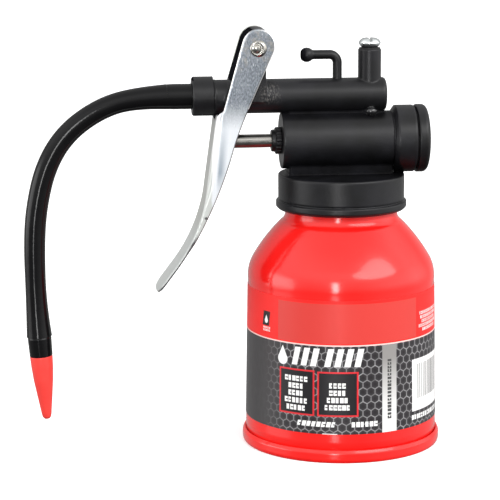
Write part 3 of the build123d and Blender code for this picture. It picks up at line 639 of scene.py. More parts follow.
def rounded(corner_list, closed=False):
    """Outline through (radius, along, fillet) corners, with an arc of that fillet at each."""
    count = len(corner_list)
    outline = []
    for index, (radius, along, *rest) in enumerate(corner_list):
        fillet = rest[0] if rest else 0.0
        at_end = not closed and index in (0, count - 1)
        if fillet == 0 or at_end:
            outline.append((radius, along))
            continue
        here = np.array((radius, along))
        before = np.array(corner_list[index - 1][:2]) - here
        after = np.array(corner_list[(index + 1) % count][:2]) - here
        long_before, long_after = np.linalg.norm(before), np.linalg.norm(after)
        before, after = before / long_before, after / long_after
        half = math.acos(np.clip(before @ after, -1, 1)) / 2
        reach = min(fillet / math.tan(half), 0.48 * min(long_before, long_after))
        fillet = reach * math.tan(half)
        hub = here + (before + after) / np.linalg.norm(before + after) * fillet / math.sin(half)
        inner = here + (hub - here) * (1 - fillet / np.linalg.norm(hub - here))
        arc = arc_through(here + before * reach, inner, here + after * reach, 8)
        guard = min(0.12, 0.02 * min(long_before, long_after))
        outline.append(tuple(here + before * (reach + guard)))
        outline.extend(arc)
        outline.append(tuple(here + after * (reach + guard)))
    return outline


def offset_outline(outline, distance):
    """Open outline moved sideways by distance, to the right of its direction."""
    points = np.array(outline)
    runs = np.gradient(points, axis=0)
    runs /= np.linalg.norm(runs, axis=1)[:, None]
    side = np.stack([runs[:, 1], -runs[:, 0]], 1)
    return points + side * distance


def lathe(outline, origin, direction, steps, closed, shape):
    """Points and quads of an outline of (radius, along) turned about an axis."""
    outline = np.array(outline)
    count = len(outline)
    angles = np.arange(steps) * (2 * math.pi / steps)
    radius = np.repeat(outline[:, 0][:, None], steps, 1)
    along = np.repeat(outline[:, 1][:, None], steps, 1)
    if shape:
        radius = shape(radius, along, angles[None, :])
    points = np.stack([radius * np.cos(angles), radius * np.sin(angles), along], -1).reshape(-1, 3)
    turn = np.array(Vector(direction).to_track_quat("Z", "Y").to_matrix())
    points = points @ turn.T + np.array(origin)
    rows = np.arange(count if closed else count - 1)
    row, step = np.meshgrid(rows, np.arange(steps), indexing="ij")
    following, next_step = (row + 1) % count, (step + 1) % steps
    row, following = row * steps, following * steps
    quads = [row + step, row + next_step, following + next_step, following + step]
    return points, np.stack(quads, -1).reshape(-1, 4)


def turned(corner_list, origin=(0, 0, 0), direction=(1, 0, 0), steps=160, closed=True, shape=None):
    """A lathe round the outline through the corners."""
    return lathe(rounded(corner_list, closed), origin, direction, steps, closed, shape)


# ------------------------------ shapes as distance fields
# A field takes points as three rows of x, y and z, and gives each point's distance, negative inside.


def corner(a, b, rounding):
    """Where both a and b are inside, with the edge between them rounded."""
    outside = np.hypot(np.maximum(a + rounding, 0), np.maximum(b + rounding, 0))
    return outside + np.minimum(np.maximum(a, b) + rounding, 0) - rounding


def join(a, b, fillet):
    """a and b together, with a fillet in the corner between them."""
    share = np.clip(0.5 + 0.5 * (b - a) / fillet, 0, 1)
    return b + (a - b) * share - fillet * share * (1 - share)


def cut(a, b, fillet=0.25):
    """a with b taken away."""
    return -join(-a, b, fillet)


def rod(p, axis, middle, radius, low, high, rounding=0.3):
    """Round bar along one axis from low to high. middle gives its centre on the other two axes."""
    others = [k for k in range(3) if k != axis]
    radial = np.hypot(p[others[0]] - middle[0], p[others[1]] - middle[1]) - radius
    return corner(radial, np.abs(p[axis] - (low + high) / 2) - (high - low) / 2, rounding)


def block(p, low, high, rounding=0.5):
    """Box between two corners with rounded edges."""
    low, high = np.array(low, float)[:, None], np.array(high, float)[:, None]
    q = np.abs(p - (low + high) / 2) - (high - low) / 2 + rounding
    return np.linalg.norm(np.maximum(q, 0), axis=0) + np.minimum(q.max(axis=0), 0) - rounding


def smooth_step(value, low, high):
    t = np.clip((value - low) / (high - low), 0, 1)
    return t * t * (3 - 2 * t)


BLOCK = 4  # grid cells along one side of a block


def polygonise(field, low, high, cell):
    """Even quads over the surface of a field: one point in each grid cell that the surface crosses."""
    low = np.array(low, float) - 2 * cell
    counts = np.ceil((np.array(high, float) + 2 * cell - low) / (cell * BLOCK)).astype(int)
    size = counts * BLOCK
    coarse = np.indices(counts).reshape(3, -1)
    rough = field(low[:, None] + (coarse + 0.5) * cell * BLOCK)
    near = np.abs(rough) < cell * (BLOCK * 1.1 + 1)
    values = np.where(rough < 0, -1e3, 1e3).reshape(counts)
    for axis in range(3):
        values = np.repeat(values, BLOCK, axis)
    offsets = np.indices((BLOCK,) * 3).reshape(3, 1, -1)
    fine = (coarse[:, near][:, :, None] * BLOCK + offsets).reshape(3, -1)
    values[tuple(fine)] = field(low[:, None] + fine * cell)

    quads, crossings = [], []
    unit = np.eye(3, dtype=int)
    inside = values < 0
    for axis in range(3):
        here = tuple(slice(0, -1) if k == axis else slice(None) for k in range(3))
        there = tuple(slice(1, None) if k == axis else slice(None) for k in range(3))
        edge = np.argwhere(inside[here] != inside[there])
        start = values[tuple(edge.T)]
        share = start / (start - values[tuple((edge + unit[axis]).T)])
        side, up = unit[(axis + 1) % 3], unit[(axis + 2) % 3]
        around = np.stack([edge, edge - side, edge - side - up, edge - up], 1)
        around[start > 0] = around[start > 0][:, ::-1]
        quads.append(around.reshape(-1, 3) @ (size[1] * size[2], size[2], 1))
        crossings.append(np.repeat(edge + share[:, None] * unit[axis], 4, 0))
    places = np.concatenate(crossings)
    _, index = np.unique(np.concatenate(quads), return_inverse=True)
    total = np.bincount(index)
    points = np.stack([np.bincount(index, places[:, k]) / total for k in range(3)])
    points = low[:, None] + points * cell

    nudge = 0.05 * cell
    for _ in range(3):
        distance = field(points)
        slope = np.stack([field(points + unit[k][:, None] * nudge) - distance for k in range(3)]) / nudge
        step = -distance / np.maximum((slope**2).sum(0), 0.25)
        points = points + slope * np.clip(step, -cell / 2, cell / 2)
    return points.T, index.reshape(-1, 4)


# ------------------------------ pump head


def lug_field(p):
    """Upright lug between the trigger's cheeks, with a heel behind it."""
    x, z = p[0] - HEAD_X, p[2] - HEAD_Z
    left = -x * math.cos(LUG_FRONT_LEAN) + z * math.sin(LUG_FRONT_LEAN) - LUG_RADIUS
    right = x * math.cos(LUG_REAR_LEAN) - z * math.sin(LUG_REAR_LEAN) - LUG_RADIUS
    middle = (LUG_FRONT_LEAN + LUG_REAR_LEAN) / 2
    above = x * math.sin(middle) + z * math.cos(middle) > 0
    heel = np.maximum(p[0] - LUG_HEEL_X, p[2] - LUG_HEEL_Z)
    side = np.where(above, np.hypot(x, z) - LUG_RADIUS, np.maximum(left, np.minimum(right, heel)))
    side = corner(side, BARREL_Z - 2.0 - p[2], 0.5)
    return corner(side, np.abs(p[1]) - LUG_HALF, 0.6)


def cap_field(p):
    """Screw cap with a crisp lower flange, a fine groove above it and a chamfer below."""
    around = np.hypot(p[0], p[1])
    cap = rod(p, 2, (0, 0), CAP_RADIUS, CAP_BOTTOM_Z + 1, CAP_TOP_Z, 0.8)
    groove = np.hypot(around - CAP_RADIUS - 0.15, p[2] - FLANGE_TOP_Z - 0.35) - 0.45
    cap = cut(cap, groove, 0.1)
    flange = rod(p, 2, (0, 0), FLANGE_RADIUS, CAP_BOTTOM_Z, FLANGE_TOP_Z, 0.4)
    chamfer = (around - FLANGE_RADIUS + 1.1 - (p[2] - CAP_BOTTOM_Z)) / math.sqrt(2)
    return np.minimum(cap, np.maximum(flange, chamfer))


def cylinder_field(p):
    """Pump cylinder with the stepped ring at its rear end."""
    around = np.hypot(p[1], p[2] - PUMP_Z)
    body = rod(p, 0, (0, PUMP_Z), PUMP_RADIUS, PUMP_FRONT_X, RING_END_X - 1, 0.5)
    ring = rod(p, 0, (0, PUMP_Z), RING_RADIUS, RING_X, RING_END_X, 1.4)
    shoulder = (around - PUMP_RADIUS - 0.3 - (p[0] - RING_X) * 1.4) / math.hypot(1, 1.4)
    groove = np.hypot(p[0] - RING_X + 0.1, around - PUMP_RADIUS) - 0.4
    return cut(np.minimum(body, np.maximum(ring, shoulder)), groove, 0.1)


def barrel_field(p):
    """Delivery barrel with its valve post, spigot and stop nub."""
    front = rod(p, 0, (0, BARREL_Z), BARREL_RADIUS, BARREL_FRONT_X - 0.3, 0, 0.1)
    rear = rod(p, 0, (0, BARREL_Z), BARREL_RADIUS, -20, BARREL_REAR_X, 1.6)
    around = np.hypot(p[1], p[2] - BARREL_Z)
    parting = np.hypot(p[0] - BARREL_FRONT_X - 0.6, around - BARREL_RADIUS + 0.1) - 0.25
    barrel = np.minimum(np.minimum(front, rear), parting)
    post = rod(p, 2, (VALVE_X, 0), POST_RADIUS, PUMP_Z, POST_TOP_Z, 0.3)
    barrel = join(barrel, post, 0.4)
    x, y, z = (p[k] - place for k, place in enumerate(BOSS_PLACE))
    barrel = join(barrel, np.sqrt((x / 1.5) ** 2 + y**2 + z**2) - 1.7, 0.5)
    low = BARREL_Z - BARREL_RADIUS - 1.9
    nub = block(p, (BARREL_FRONT_X, -3, low), (BARREL_FRONT_X + 2.8, 3, BARREL_Z), 0.7)
    barrel = join(barrel, nub, 0.6)
    spigot = rod(p, 0, (0, SPOUT_Z), 6.4, BARREL_FRONT_X - 7.3, BARREL_FRONT_X + 2, 0.3)
    return np.minimum(barrel, spigot)


def head_field(p):
    """Cap, cylinder, barrel, lug and post as one casting, with its bores."""
    saddle = block(p, (PUMP_FRONT_X + 3, -6.5, CAP_TOP_Z - 2), (RING_X, 6.5, PUMP_Z), 1.0)
    bridge = block(p, (PUMP_FRONT_X + 3, -3.5, PUMP_Z), (BARREL_REAR_X - 1.5, 3.5, BARREL_Z), 1.0)
    head = join(join(cap_field(p), saddle, 0.5), cylinder_field(p), 0.6)
    upper = join(barrel_field(p), lug_field(p), 1.0)
    head = join(join(head, bridge, 0.8), upper, 0.5)
    thread_bore = rod(p, 2, (0, 0), 25.6, CAP_BOTTOM_Z - 4, NECK_TOP_Z + 1.6)
    head = cut(head, thread_bore, 0.3)
    head = join(head, rod(p, 2, (VALVE_X, 0), 5.4, CAP_BOTTOM_Z - 0.4, CAP_TOP_Z - 1, 0.4), 0.5)
    bores = [
        rod(p, 0, (0, PUMP_Z), 9.0, -21.0, 40.0),            # piston
        rod(p, 0, (0, PUMP_Z), 10.6, 24.0, 40.0),            # rear plug
        rod(p, 0, (0, PUMP_Z), 4.4, -40.0, -22.0),           # gland and its seal
        rod(p, 0, (0, PUMP_Z), 3.3, -23.0, -20.0),           # plunger rod
        rod(p, 0, (0, BARREL_Z), 2.2, -70.0, VALVE_X),       # delivery
        rod(p, 2, (VALVE_X, 0), 3.2, 150.6, 190.0),          # outlet valve
        rod(p, 2, (VALVE_X, 0), 1.4, 110.0, 152.0),          # riser
        rod(p, 2, (VALVE_X, 0), 3.55, 90.0, 120.0),          # inlet valve
        rod(p, 1, (PIVOT_X, PIVOT_Z), PIN_RADIUS + 0.05, -20.0, 20.0),
        rod(p, 2, (HOOK_X, 0), HOOK_RADIUS, HOOK_FOOT_Z, 200.0),
    ]
    for bore in bores:
        head = cut(head, bore, 0.2)
    return head


def hook_field(p):
    """Bent rod with a ball at its end."""
    bend_x, bend_z = HOOK_X - HOOK_BEND, HOOK_LEG_Z - HOOK_BEND
    leg = rod(p, 2, (HOOK_X, 0), HOOK_RADIUS, HOOK_FOOT_Z, bend_z, 0.05)
    arm = rod(p, 0, (0, HOOK_LEG_Z), HOOK_RADIUS, HOOK_BALL_X, bend_x, 0.05)
    around = np.hypot(p[0] - bend_x, p[2] - bend_z)
    bend = np.hypot(around - HOOK_BEND, p[1]) - HOOK_RADIUS
    bend = np.maximum(bend, np.maximum(bend_x - p[0], bend_z - p[2]) - 0.05)
    wire = np.minimum(np.minimum(leg, arm), bend)
    ball = np.sqrt((p[0] - HOOK_BALL_X) ** 2 + p[1] ** 2 + (p[2] - HOOK_LEG_Z) ** 2) - HOOK_BALL_RADIUS
    ball = corner(ball, HOOK_BALL_X - 2.7 - p[0], 0.4)
    return join(wire, ball, 0.5)


def screw_field(p):
    """Pan head with a slot across it, and the shank below."""
    low, high = corners("valve_screw")
    seat = POST_TOP_Z + 0.5
    head = rod(p, 2, (VALVE_X, 0), 5.0, seat, high[2], 2.9)
    foot = rod(p, 2, (VALVE_X, 0), 5.0, seat, high[2] + 6, 0.5)
    shank = rod(p, 2, (VALVE_X, 0), 3.1, low[2], seat + 1, 0.3)
    slot = block(p, (VALVE_X - 0.6, -9, high[2] - 1.3), (VALVE_X + 0.6, 9, high[2] + 9), 0.1)
    return cut(np.minimum(np.maximum(head, foot), shank), slot, 0.2)


# ------------------------------ trigger


def grip_point(offset, lean):
    """Point of the curved grip at a lean, offset to the rear of its front face."""
    radius = GRIP_RADIUS + offset
    return GRIP_CENTRE[0] + radius * math.cos(lean), GRIP_CENTRE[1] - radius * math.sin(lean)


def tip_point(offset):
    """End of the grip, offset to the rear of its front face."""
    x, z = grip_point(offset, GRIP_LEAN)
    return x - GRIP_END * math.sin(GRIP_LEAN), z - GRIP_END * math.cos(GRIP_LEAN)


def trigger_outline():
    """Side view of the head, cheeks and grip as a closed outline."""
    head_left = (HEAD_X - HEAD_RADIUS * math.cos(FRONT_LEAN), HEAD_Z + HEAD_RADIUS * math.sin(FRONT_LEAN))
    head_right = (HEAD_X + HEAD_RADIUS * math.cos(REAR_LEAN), HEAD_Z - HEAD_RADIUS * math.sin(REAR_LEAN))
    shoulder_z = WEB_TOP_Z + 2.0
    shoulder = (head_left[0] - (head_left[1] - shoulder_z) * math.tan(FRONT_LEAN), shoulder_z)
    web_top = (KNEE_X + (WEB_TOP_Z - KNEE_Z) * math.tan(WEB_LEAN), WEB_TOP_Z)
    halfway = grip_point(0, (GRIP_LEAN + WEB_LEAN) / 2)
    front = arc_through((KNEE_X, KNEE_Z), halfway, grip_point(0, GRIP_LEAN), 20)
    back = [tip_point(0), tip_point(TRIGGER_SHEET), grip_point(TRIGGER_SHEET, GRIP_LEAN)]
    upper, upper_mid, waist, lower_mid, run_out = REAR_EDGE
    rear = arc_through(run_out, lower_mid, waist, 14) + arc_through(waist, upper_mid, upper, 8)[1:]
    crown = arc_through(head_right, (HEAD_X, HEAD_Z + HEAD_RADIUS), head_left, 24)
    return [shoulder, web_top, *front, *back, *rear, *crown]


def outline_distance(x, z, outline):
    """Distance to a closed outline in the x, z plane, negative inside."""
    nearest = np.full(x.shape, 1e9)
    crossed = np.zeros(x.shape, bool)
    for (ax, az), (bx, bz) in zip(outline, outline[1:] + outline[:1]):
        run_x, run_z = bx - ax, bz - az
        length = run_x**2 + run_z**2
        if length < 1e-9:
            continue
        share = np.clip(((x - ax) * run_x + (z - az) * run_z) / length, 0, 1)
        gap = (x - ax - share * run_x) ** 2 + (z - az - share * run_z) ** 2
        nearest = np.minimum(nearest, gap)
        if az != bz:
            spans = (az > z) != (bz > z)
            crossed ^= spans & (x < ax + (z - az) * run_x / run_z)
    return np.where(crossed, -1, 1) * np.sqrt(nearest)


def trigger_field(p):
    """Pressed channel: cheeks and web with round bends, and a flat curved grip with a round tip."""
    x, y, z = p
    end_x, end_z = grip_point(0, GRIP_LEAN)
    lean = np.arctan2(GRIP_CENTRE[1] - z, x - GRIP_CENTRE[0])
    web = (z - KNEE_Z) * math.sin(WEB_LEAN) - (x - KNEE_X) * math.cos(WEB_LEAN)
    arc = GRIP_RADIUS - np.hypot(x - GRIP_CENTRE[0], z - GRIP_CENTRE[1])
    end = (z - end_z) * math.sin(GRIP_LEAN) - (x - end_x) * math.cos(GRIP_LEAN)
    face = np.where(lean < WEB_LEAN, web, np.where(lean > GRIP_LEAN, end, arc))
    side = np.abs(y) - TRIGGER_HALF
    bend = 0.3 + BEND * smooth_step(z, BEND_LOW_Z, BEND_HIGH_Z)
    bend = np.where(y > 0, np.minimum(bend, 1.0), bend)
    outline = outline_distance(x, z, trigger_outline())
    lever = np.maximum(corner(outline, side, 0.5), corner(face, side, bend))
    past_tip = -(x - end_x) * math.sin(GRIP_LEAN) - (z - end_z) * math.cos(GRIP_LEAN) - GRIP_END
    lever = np.maximum(lever, corner(past_tip, side, TIP_ROUNDING))
    space = corner(face + TRIGGER_SHEET, side + TRIGGER_SHEET, np.maximum(bend - TRIGGER_SHEET, 0.4))
    lower_end = GRIP_RADIUS * (lean - WEB_LEAN - CHANNEL_TURN)
    space = np.where(z > WEB_TOP_Z, side + TRIGGER_SHEET, np.maximum(space, lower_end))
    lever = np.maximum(lever, -space)
    nut_room = rod(p, 0, (0, SPOUT_Z), corners("spout_nut")[1][1] + 0.6, -80.0, -46.0, 0.05)
    nub_room = block(p, (-70.0, -3.5, BARREL_Z - BARREL_RADIUS - 2.4), (-46.0, 3.5, SPOUT_Z), 0.05)
    between = np.maximum(np.minimum(nut_room, nub_room), side + TRIGGER_SHEET)
    lever = cut(lever, between, 0.1)
    return cut(lever, rod(p, 1, (PIVOT_X, PIVOT_Z), PIN_RADIUS, -20.0, 20.0, 0.05), 0.1)


def rivet_field(p):
    """Shank with a low domed head at each side, grooved round a small off-centre pip."""
    x, y, z = p[0] - PIVOT_X, np.abs(p[1]), p[2] - PIVOT_Z
    head, height = 3.8, 1.7
    ball = (head**2 + height**2) / (2 * height)
    dome = np.sqrt(x**2 + z**2 + (y - TRIGGER_HALF - height + ball) ** 2) - ball
    dome = np.maximum(dome, TRIGGER_HALF - y)
    around = np.hypot(x + 0.8, z - 0.1)
    groove = np.hypot(around - 2.2, y - TRIGGER_HALF - 1.4) - 0.75
    pip = np.sqrt((x + 0.8) ** 2 + (z - 0.1) ** 2 + (y - TRIGGER_HALF + 0.75) ** 2) - 2.45
    shank = np.maximum(np.hypot(x, z) - PIN_RADIUS, y - TRIGGER_HALF)
    return np.minimum(np.minimum(cut(dome, groove, 0.25), np.maximum(pip, TRIGGER_HALF - y)), shank)


# ------------------------------ round parts


def wall_radius(z):
    return WALL_BOTTOM_RADIUS - (WALL_BOTTOM_RADIUS - WALL_TOP_RADIUS) * z / WALL_TOP_Z


def can_shell():
    """Drawn wall, shoulder and threaded neck as one sheet."""
    bottom = 1.2
    outside = [(wall_radius(z), z) for z in np.linspace(bottom, WALL_TOP_Z, 10)[:-1]]
    outside += arc_through((WALL_TOP_RADIUS, WALL_TOP_Z), (41.35, 79.8), (39.3, 84.7), 16)[:-1]
    outside += arc_through((39.3, 84.7), (33.5, 93.2), (27.2, 100.3), 14)[:-1]
    outside += arc_through((27.2, 100.3), (25.6, 102.0), (NECK_RADIUS, 104.2), 10)
    outside += [(NECK_RADIUS, z) for z in np.linspace(104.8, NECK_TOP_Z - 0.4, 40)]
    inside = offset_outline(outside, -SHEET)[::-1]
    rim = arc_through(outside[-1], (NECK_RADIUS - SHEET / 2, NECK_TOP_Z), tuple(inside[0]), 6)[1:-1]
    pitch = 3.0

    def thread(radius, along, angle):
        wave = np.cos(2 * math.pi * along / pitch - angle)
        height = smooth_step(wave, 0.2, 0.9) * smooth_step(along, 107.0, 109.5)
        return radius + 0.42 * height * smooth_step(along, 116.0, 114.5)

    return lathe([*outside, *rim, *map(tuple, inside)], (0, 0, 0), UPRIGHT, 256, True, thread)


def can_foot():
    """Base plate and the rolled seam round it, with stiffening steps in the plate."""
    wall = WALL_BOTTOM_RADIUS
    return turned([
        (0.0, 3.4), (18.0, 3.4, 2.0), (19.0, 2.9, 2.0), (30.0, 2.9, 2.0), (31.0, 3.0, 2.0), (40.9, 3.0, 0.5),
        (41.3, 0.0, 0.5), (SEAM_RADIUS - 0.4, 0.0, 1.0), (SEAM_RADIUS, 1.6, 2.0), (SEAM_RADIUS, 4.4, 1.6),
        (SEAM_RADIUS - 0.7, SEAM_TOP_Z, 0.5), (wall + 0.02, SEAM_TOP_Z - 0.2, 0.1), (wall + 0.02, 1.1),
        (wall - SHEET - 0.1, 1.1), (wall - SHEET - 0.1, 3.6, 0.3), (31.0, 3.6, 2.0), (30.0, 3.5, 2.0),
        (19.0, 3.5, 2.0), (18.0, 4.0, 2.0), (0.0, 4.0),
    ], direction=UPRIGHT, steps=256, closed=False)


def label_sheet():
    low = wall_radius(LABEL_BOTTOM_Z) + 0.02
    high = wall_radius(LABEL_TOP_Z) + 0.02
    return turned([
        (low, LABEL_BOTTOM_Z, 0.03), (low + 0.15, LABEL_BOTTOM_Z, 0.06), (high + 0.15, LABEL_TOP_Z, 0.06),
        (high, LABEL_TOP_Z, 0.03),
    ], direction=UPRIGHT, steps=256)


def neck_seal():
    low, high = corners("neck_gasket")
    inner, outer = 20.5, high[0]
    return turned([
        (inner, low[2], 0.3), (outer, low[2], 0.3), (outer, high[2], 0.3), (inner, high[2], 0.3),
    ], direction=UPRIGHT)


def rear_plug():
    """Screw plug behind the cylinder, with a dished rear face."""
    low, high = corners("end_cap")
    front, rear, radius = low[0], high[0], high[1]
    return turned([
        (0.0, front), (10.5, front, 0.5), (10.5, rear - 5.0, 0.1), (radius, rear - 5.0, 0.6),
        (radius, rear, 2.2), (9.4, rear, 0.5), (8.4, rear - 0.9, 0.7), (0.0, rear - 0.9),
    ], (0, 0, PUMP_Z), closed=False)


def plug_gasket():
    low, high = corners("end_cap_gasket")
    inner, outer = 10.65, 13.3
    return turned([
        (inner, low[0]), (outer, low[0], 0.2), (outer, high[0], 0.2), (inner, high[0]),
    ], (0, 0, PUMP_Z))


def gland():
    """Small ribbed nut where the rod enters the cylinder."""
    low, high = corners("gland_nut")
    bore = 3.05
    ribs = 18
    outline = [
        (bore, low[0], 0.2), (4.8, low[0], 0.4), (5.0, low[0] + 1.7, 0.2), (5.6, low[0] + 1.7, 0.2),
        (6.0, low[0] + 2.1, 0.3), (6.0, low[0] + 4.0, 0.2), (5.8, PUMP_FRONT_X, 0.1),
        (4.35, PUMP_FRONT_X, 0.1), (4.35, high[0], 0.2), (bore, high[0], 0.2),
    ]

    def ribbed(radius, _, angle):
        groove = smooth_step(np.cos(ribs * angle), 0.1, 0.9)
        outer = smooth_step(radius, 5.0, 5.5)
        return radius - 0.42 * groove * outer

    return turned(outline, (0, 0, PUMP_Z), steps=ribs * 12, shape=ribbed)


def push_rod():
    """Plunger rod with a rounded front end and a thinner tail for the piston."""
    low, high = corners("plunger_rod")
    shoulder = corners("piston")[0][0]
    return turned([
        (0.0, low[0]), (3.0, low[0], 2.0), (3.0, shoulder, 0.2), (2.0, shoulder, 0.1), (2.0, high[0], 0.3),
        (0.0, high[0]),
    ], (0, 0, PUMP_Z), steps=96, closed=False)


def union_nut():
    """Nut that holds the hose's fitting on the barrel, smooth with a turned front edge."""
    low, high = corners("spout_nut")
    radius = high[1]
    return turned([
        (5.65, low[0], 0.2), (radius - 0.6, low[0], 0.1), (radius, low[0] + 0.5, 0.15),
        (radius, high[0] - 0.1, 0.05), (radius - 0.1, high[0], 0.05), (6.5, high[0], 0.2),
        (6.5, low[0] + 1.2), (5.65, low[0] + 1.2),
    ], (0, 0, SPOUT_Z))


def hose_sleeve():
    """Sleeve over the root of the hose."""
    low, high = corners("spout_ferrule")
    radius = high[1]
    return turned([
        (2.55, low[0]), (radius - 0.12, low[0], 0.1), (radius, low[0] + 3.0, 3.0),
        (radius, high[0] - 0.1, 0.05), (radius - 0.1, high[0]), (2.55, high[0]),
    ], (0, 0, SPOUT_Z))


# ------------------------------ spout and nozzle


def nozzle_frame():
    """End of the hose and the direction in which the nozzle points."""
    (x0, z0, _), (x1, z1, _) = HOSE_ROUTE[-2:]
    return (x1, 0, z1), Vector((x1 - x0, 0, z1 - z0)).normalized()


def nozzle_sleeve():
    """Black sleeve between the hose and the nozzle."""
    origin, flow = nozzle_frame()
    return turned([
        (1.4, 0.0), (5.0, 0.0, 0.3), (5.3, 0.8, 0.4), (5.2, 4.5, 1.0), (5.1, 8.7, 0.2),
        (4.9, NOZZLE_SLEEVE), (1.4, NOZZLE_SLEEVE),
    ], origin, flow, steps=96)


def nozzle_cone():
    """Tapered nozzle with a round tip and a small outlet."""
    origin, flow = nozzle_frame()
    return turned([
        (1.4, 0.0), (5.0, 0.0, 0.1), (5.05, 0.6, 0.2), (4.85, 5.0, 8.0), (4.35, 11.0, 20.0),
        (3.55, 17.0, 20.0), (2.8, 22.5, 16.0), (2.2, 26.8, 4.0), (1.85, 28.2, 0.9), (1.2, 29.0, 0.5),
        (0.6, 29.1, 0.1), (0.6, 21.0),
    ], Vector(origin) + flow * NOZZLE_SLEEVE, flow, steps=96)


def make_hose(material):
    """The flexible spout as one smooth spline, thicker over the fittings at its two ends."""
    data = bpy.data.curves.new("spout_hose_flex", "CURVE")
    data.dimensions = "3D"
    data.bevel_depth = HOSE_DIAMETER / 2 * MM
    data.bevel_resolution = 14
    data.resolution_u = 24
    data.use_fill_caps = True
    spline = data.splines.new("NURBS")
    spline.points.add(len(HOSE_ROUTE) - 1)
    for point, (x, z, diameter) in zip(spline.points, HOSE_ROUTE):
        point.co = (x * MM, 0.0, z * MM, 1.0)
        point.radius = diameter / HOSE_DIAMETER
    spline.order_u = 3
    spline.use_endpoint_u = True
    data.materials.append(material)
    hose = show("spout_hose_flex", data)
    stand_for(hose, "pump", "spout_hose")


# ------------------------------ stage


def make_floor():
    """Plain pale floor, large enough to fill the picture from any side."""
    half = 6.0
    mesh = bpy.data.meshes.new("floor")
    mesh.from_pydata([(-half, -half, 0), (half, -half, 0), (half, half, 0), (-half, half, 0)], [], [range(4)])
    s = Surface("floor", (0.93, 0.93, 0.93), 0.9, Emission_Strength=0.30)
    s.drive("Emission Color", (1.0, 1.0, 1.0))
    s.paint(s.mix(s.noise(400.0), (0.92, 0.92, 0.92), (0.94, 0.94, 0.94)))
    mesh.materials.append(s.material)
    floor = show("floor", mesh)
    floor.visible_glossy = False
    floor.visible_diffuse = False


def add_softbox(name, place, target, width, height, power):
    data = bpy.data.lights.new(name, "AREA")
    data.shape = "ELLIPSE"
    data.size, data.size_y = width, height
    data.energy = power
    lamp = show(name, data)
    lamp.location = place
    lamp.rotation_euler = (Vector(target) - Vector(place)).to_track_quat("-Z", "Y").to_euler()


FRONT_GLOW = [  # height of a direction, and how bright the room is there in front
    (-1.0, 0.08), (-0.87, 0.12), (-0.64, 0.17), (-0.37, 0.26), (-0.17, 0.42), (0.0, 0.85), (0.17, 1.05),
    (0.34, 1.40), (0.50, 1.70), (0.67, 1.70), (0.87, 1.15), (1.0, 1.0),
]
REAR_GLOW = [(-1.0, 0.08), (-0.7, 0.2), (-0.3, 0.5), (0.0, 0.5), (0.3, 0.45), (1.0, 0.9)]


def glow(tree, height, table):
    """Brightness by height from a table, straight between its rows."""
    node = tree.nodes.new("ShaderNodeValToRGB")
    ramp = node.color_ramp
    while len(ramp.elements) < len(table):
        ramp.elements.new(0.5)
    for element, (place, level) in zip(ramp.elements, table):
        element.position = (place + 1) / 2
        element.color = (level / 2, level / 2, level / 2, 1.0)
    feed(tree, node.inputs["Fac"], height * 0.5 + 0.5)
    return Field(tree, node.outputs["Color"]) * 2.0


def make_lights():
    """Soft key from the upper front, in a pale room that is dark below and has a bright strip in front."""
    add_softbox("key", (0.95, -1.1, 1.15), (0.0, 0.0, 0.1), 1.8, 0.9, 18.0)
    world = bpy.data.worlds.new("studio")
    bpy.context.scene.world = world
    world.use_nodes = True
    tree = world.node_tree
    background = tree.nodes["Background"]
    place = tree.nodes.new("ShaderNodeTexCoord")
    across, depth, height = split(tree, place.outputs["Generated"])
    low = height.ramp(0.45, 0.05)
    sides = across.ramp(0.25, 0.85) * 1.2 + across.ramp(-0.75, -0.97) * 0.6
    front = glow(tree, height, FRONT_GLOW) * (low * sides + 1.0)
    behind = depth.ramp(0.1, 0.6)
    strip = across.ramp(-0.33, -0.28) * across.ramp(-0.17, -0.22) * depth.below(0.0)
    strip = strip * height.ramp(-0.30, -0.1) * height.ramp(0.35, 0.2)
    strip = strip + across.ramp(-0.90, -0.94) * height.ramp(-0.30, -0.1) * height.ramp(0.35, 0.2) * 0.15
    level = front * (-behind + 1.0) + glow(tree, height, REAR_GLOW) * behind + strip * 19.0
    feed(tree, background.inputs["Color"], (1.0, 1.0, 1.0))
    feed(tree, background.inputs["Strength"], level)


# ------------------------------ build

make_camera()

ENAMEL, BLACK, RUBBER, ZINC = red_enamel(), satin_black(), black_rubber(), zinc_plate()
BRIGHT = drawn_steel("bright_steel", (0.30, 0.29, 0.27))
SPRING = drawn_steel("spring_steel", (0.52, 0.52, 0.54))
BRASS, CLEAR, HOSE, PLASTIC = brass(), clear_plastic(), hose_black(), red_plastic()
LABEL = label_print()
PLATED = plated_steel("plated_steel", (0.46, 0.47, 0.47), (0.35, 0.32, 0.26))
BRIGHT_ZINC = plated_steel("bright_zinc", (0.80, 0.83, 0.83), (0.60, 0.64, 0.64))

sleeve_piece = add_piece("nozzle_sleeve", "pump", HOSE, "black_cast", "nozzle_ferrule", *nozzle_sleeve())
cone_piece = add_piece("nozzle_cone", "pump", PLASTIC, "red_plastic", "nozzle_tip", *nozzle_cone())
make_hose(HOSE)

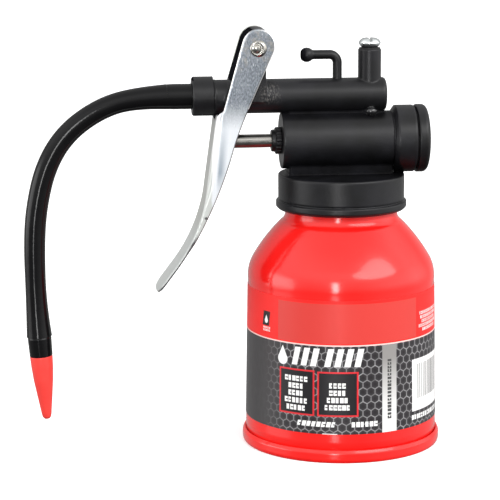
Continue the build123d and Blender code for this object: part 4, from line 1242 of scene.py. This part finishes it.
TURNED_PIECES = (  # maker, whose name the piece has, body, material, slot, node
    (can_shell, "can", ENAMEL, "red_enamel", "can_body"),
    (can_foot, "can", ENAMEL, "red_enamel", "can_base"),
    (label_sheet, "can", LABEL, "label_print", "label_wrap"),
    (neck_seal, "cap_seal", RUBBER, "black_rubber", "neck_gasket"),
    (rear_plug, "pump", BLACK, "black_cast", "end_cap"),
    (plug_gasket, "pump", RUBBER, "black_rubber", "end_cap_gasket"),
    (gland, "pump", BLACK, "black_cast", "gland_nut"),
    (union_nut, "pump", BLACK, "black_cast", "spout_nut"),
    (hose_sleeve, "pump", HOSE, "black_cast", "spout_ferrule"),
    (push_rod, "plunger", BRIGHT, "bright_steel", "plunger_rod"),
)
for maker, *place in TURNED_PIECES:
    add_piece(maker.__name__, *place, *maker())

FIELD_PIECES = (  # name, field, grid cell, body, material, slot, node
    ("pump_head", head_field, 0.45, "pump", BLACK, "black_cast", "pump_body"),
    ("hook", hook_field, 0.30, "pump", BLACK, "black_cast", "hang_hook"),
    ("pan_screw", screw_field, 0.22, "pump", BRIGHT_ZINC, "zinc_steel", "valve_screw"),
    ("rivet", rivet_field, 0.22, "lever", PLATED, "zinc_steel", "pivot_rivet"),
    ("lever_channel", trigger_field, 0.40, "lever", ZINC, "zinc_steel", "trigger"),
)
COARSER = 1.0
for name, field, cell, body, material, slot, node in FIELD_PIECES:
    add_piece(name, body, material, slot, node, *polygonise(field, *corners(node), cell * COARSER))

KEPT_NODES = {
    "piston": BRASS, "piston_nut": BRIGHT, "piston_seal": RUBBER, "rod_seal": RUBBER,
    "inlet_seat": BRASS, "inlet_ball": BRIGHT, "outlet_ball": BRIGHT, "dip_tube": CLEAR,
    "intake_strainer": BRASS, "valve_washer": RUBBER, "spout_washer": RUBBER, "hose_barb": BRASS,
}
for node, material in KEPT_NODES.items():
    NODES[node].data.materials.clear()
    NODES[node].data.materials.append(material)
add_spring("return_spring")
add_spring("outlet_spring")

make_floor()
make_lights()
bpy.context.scene.view_settings.view_transform = "Standard"
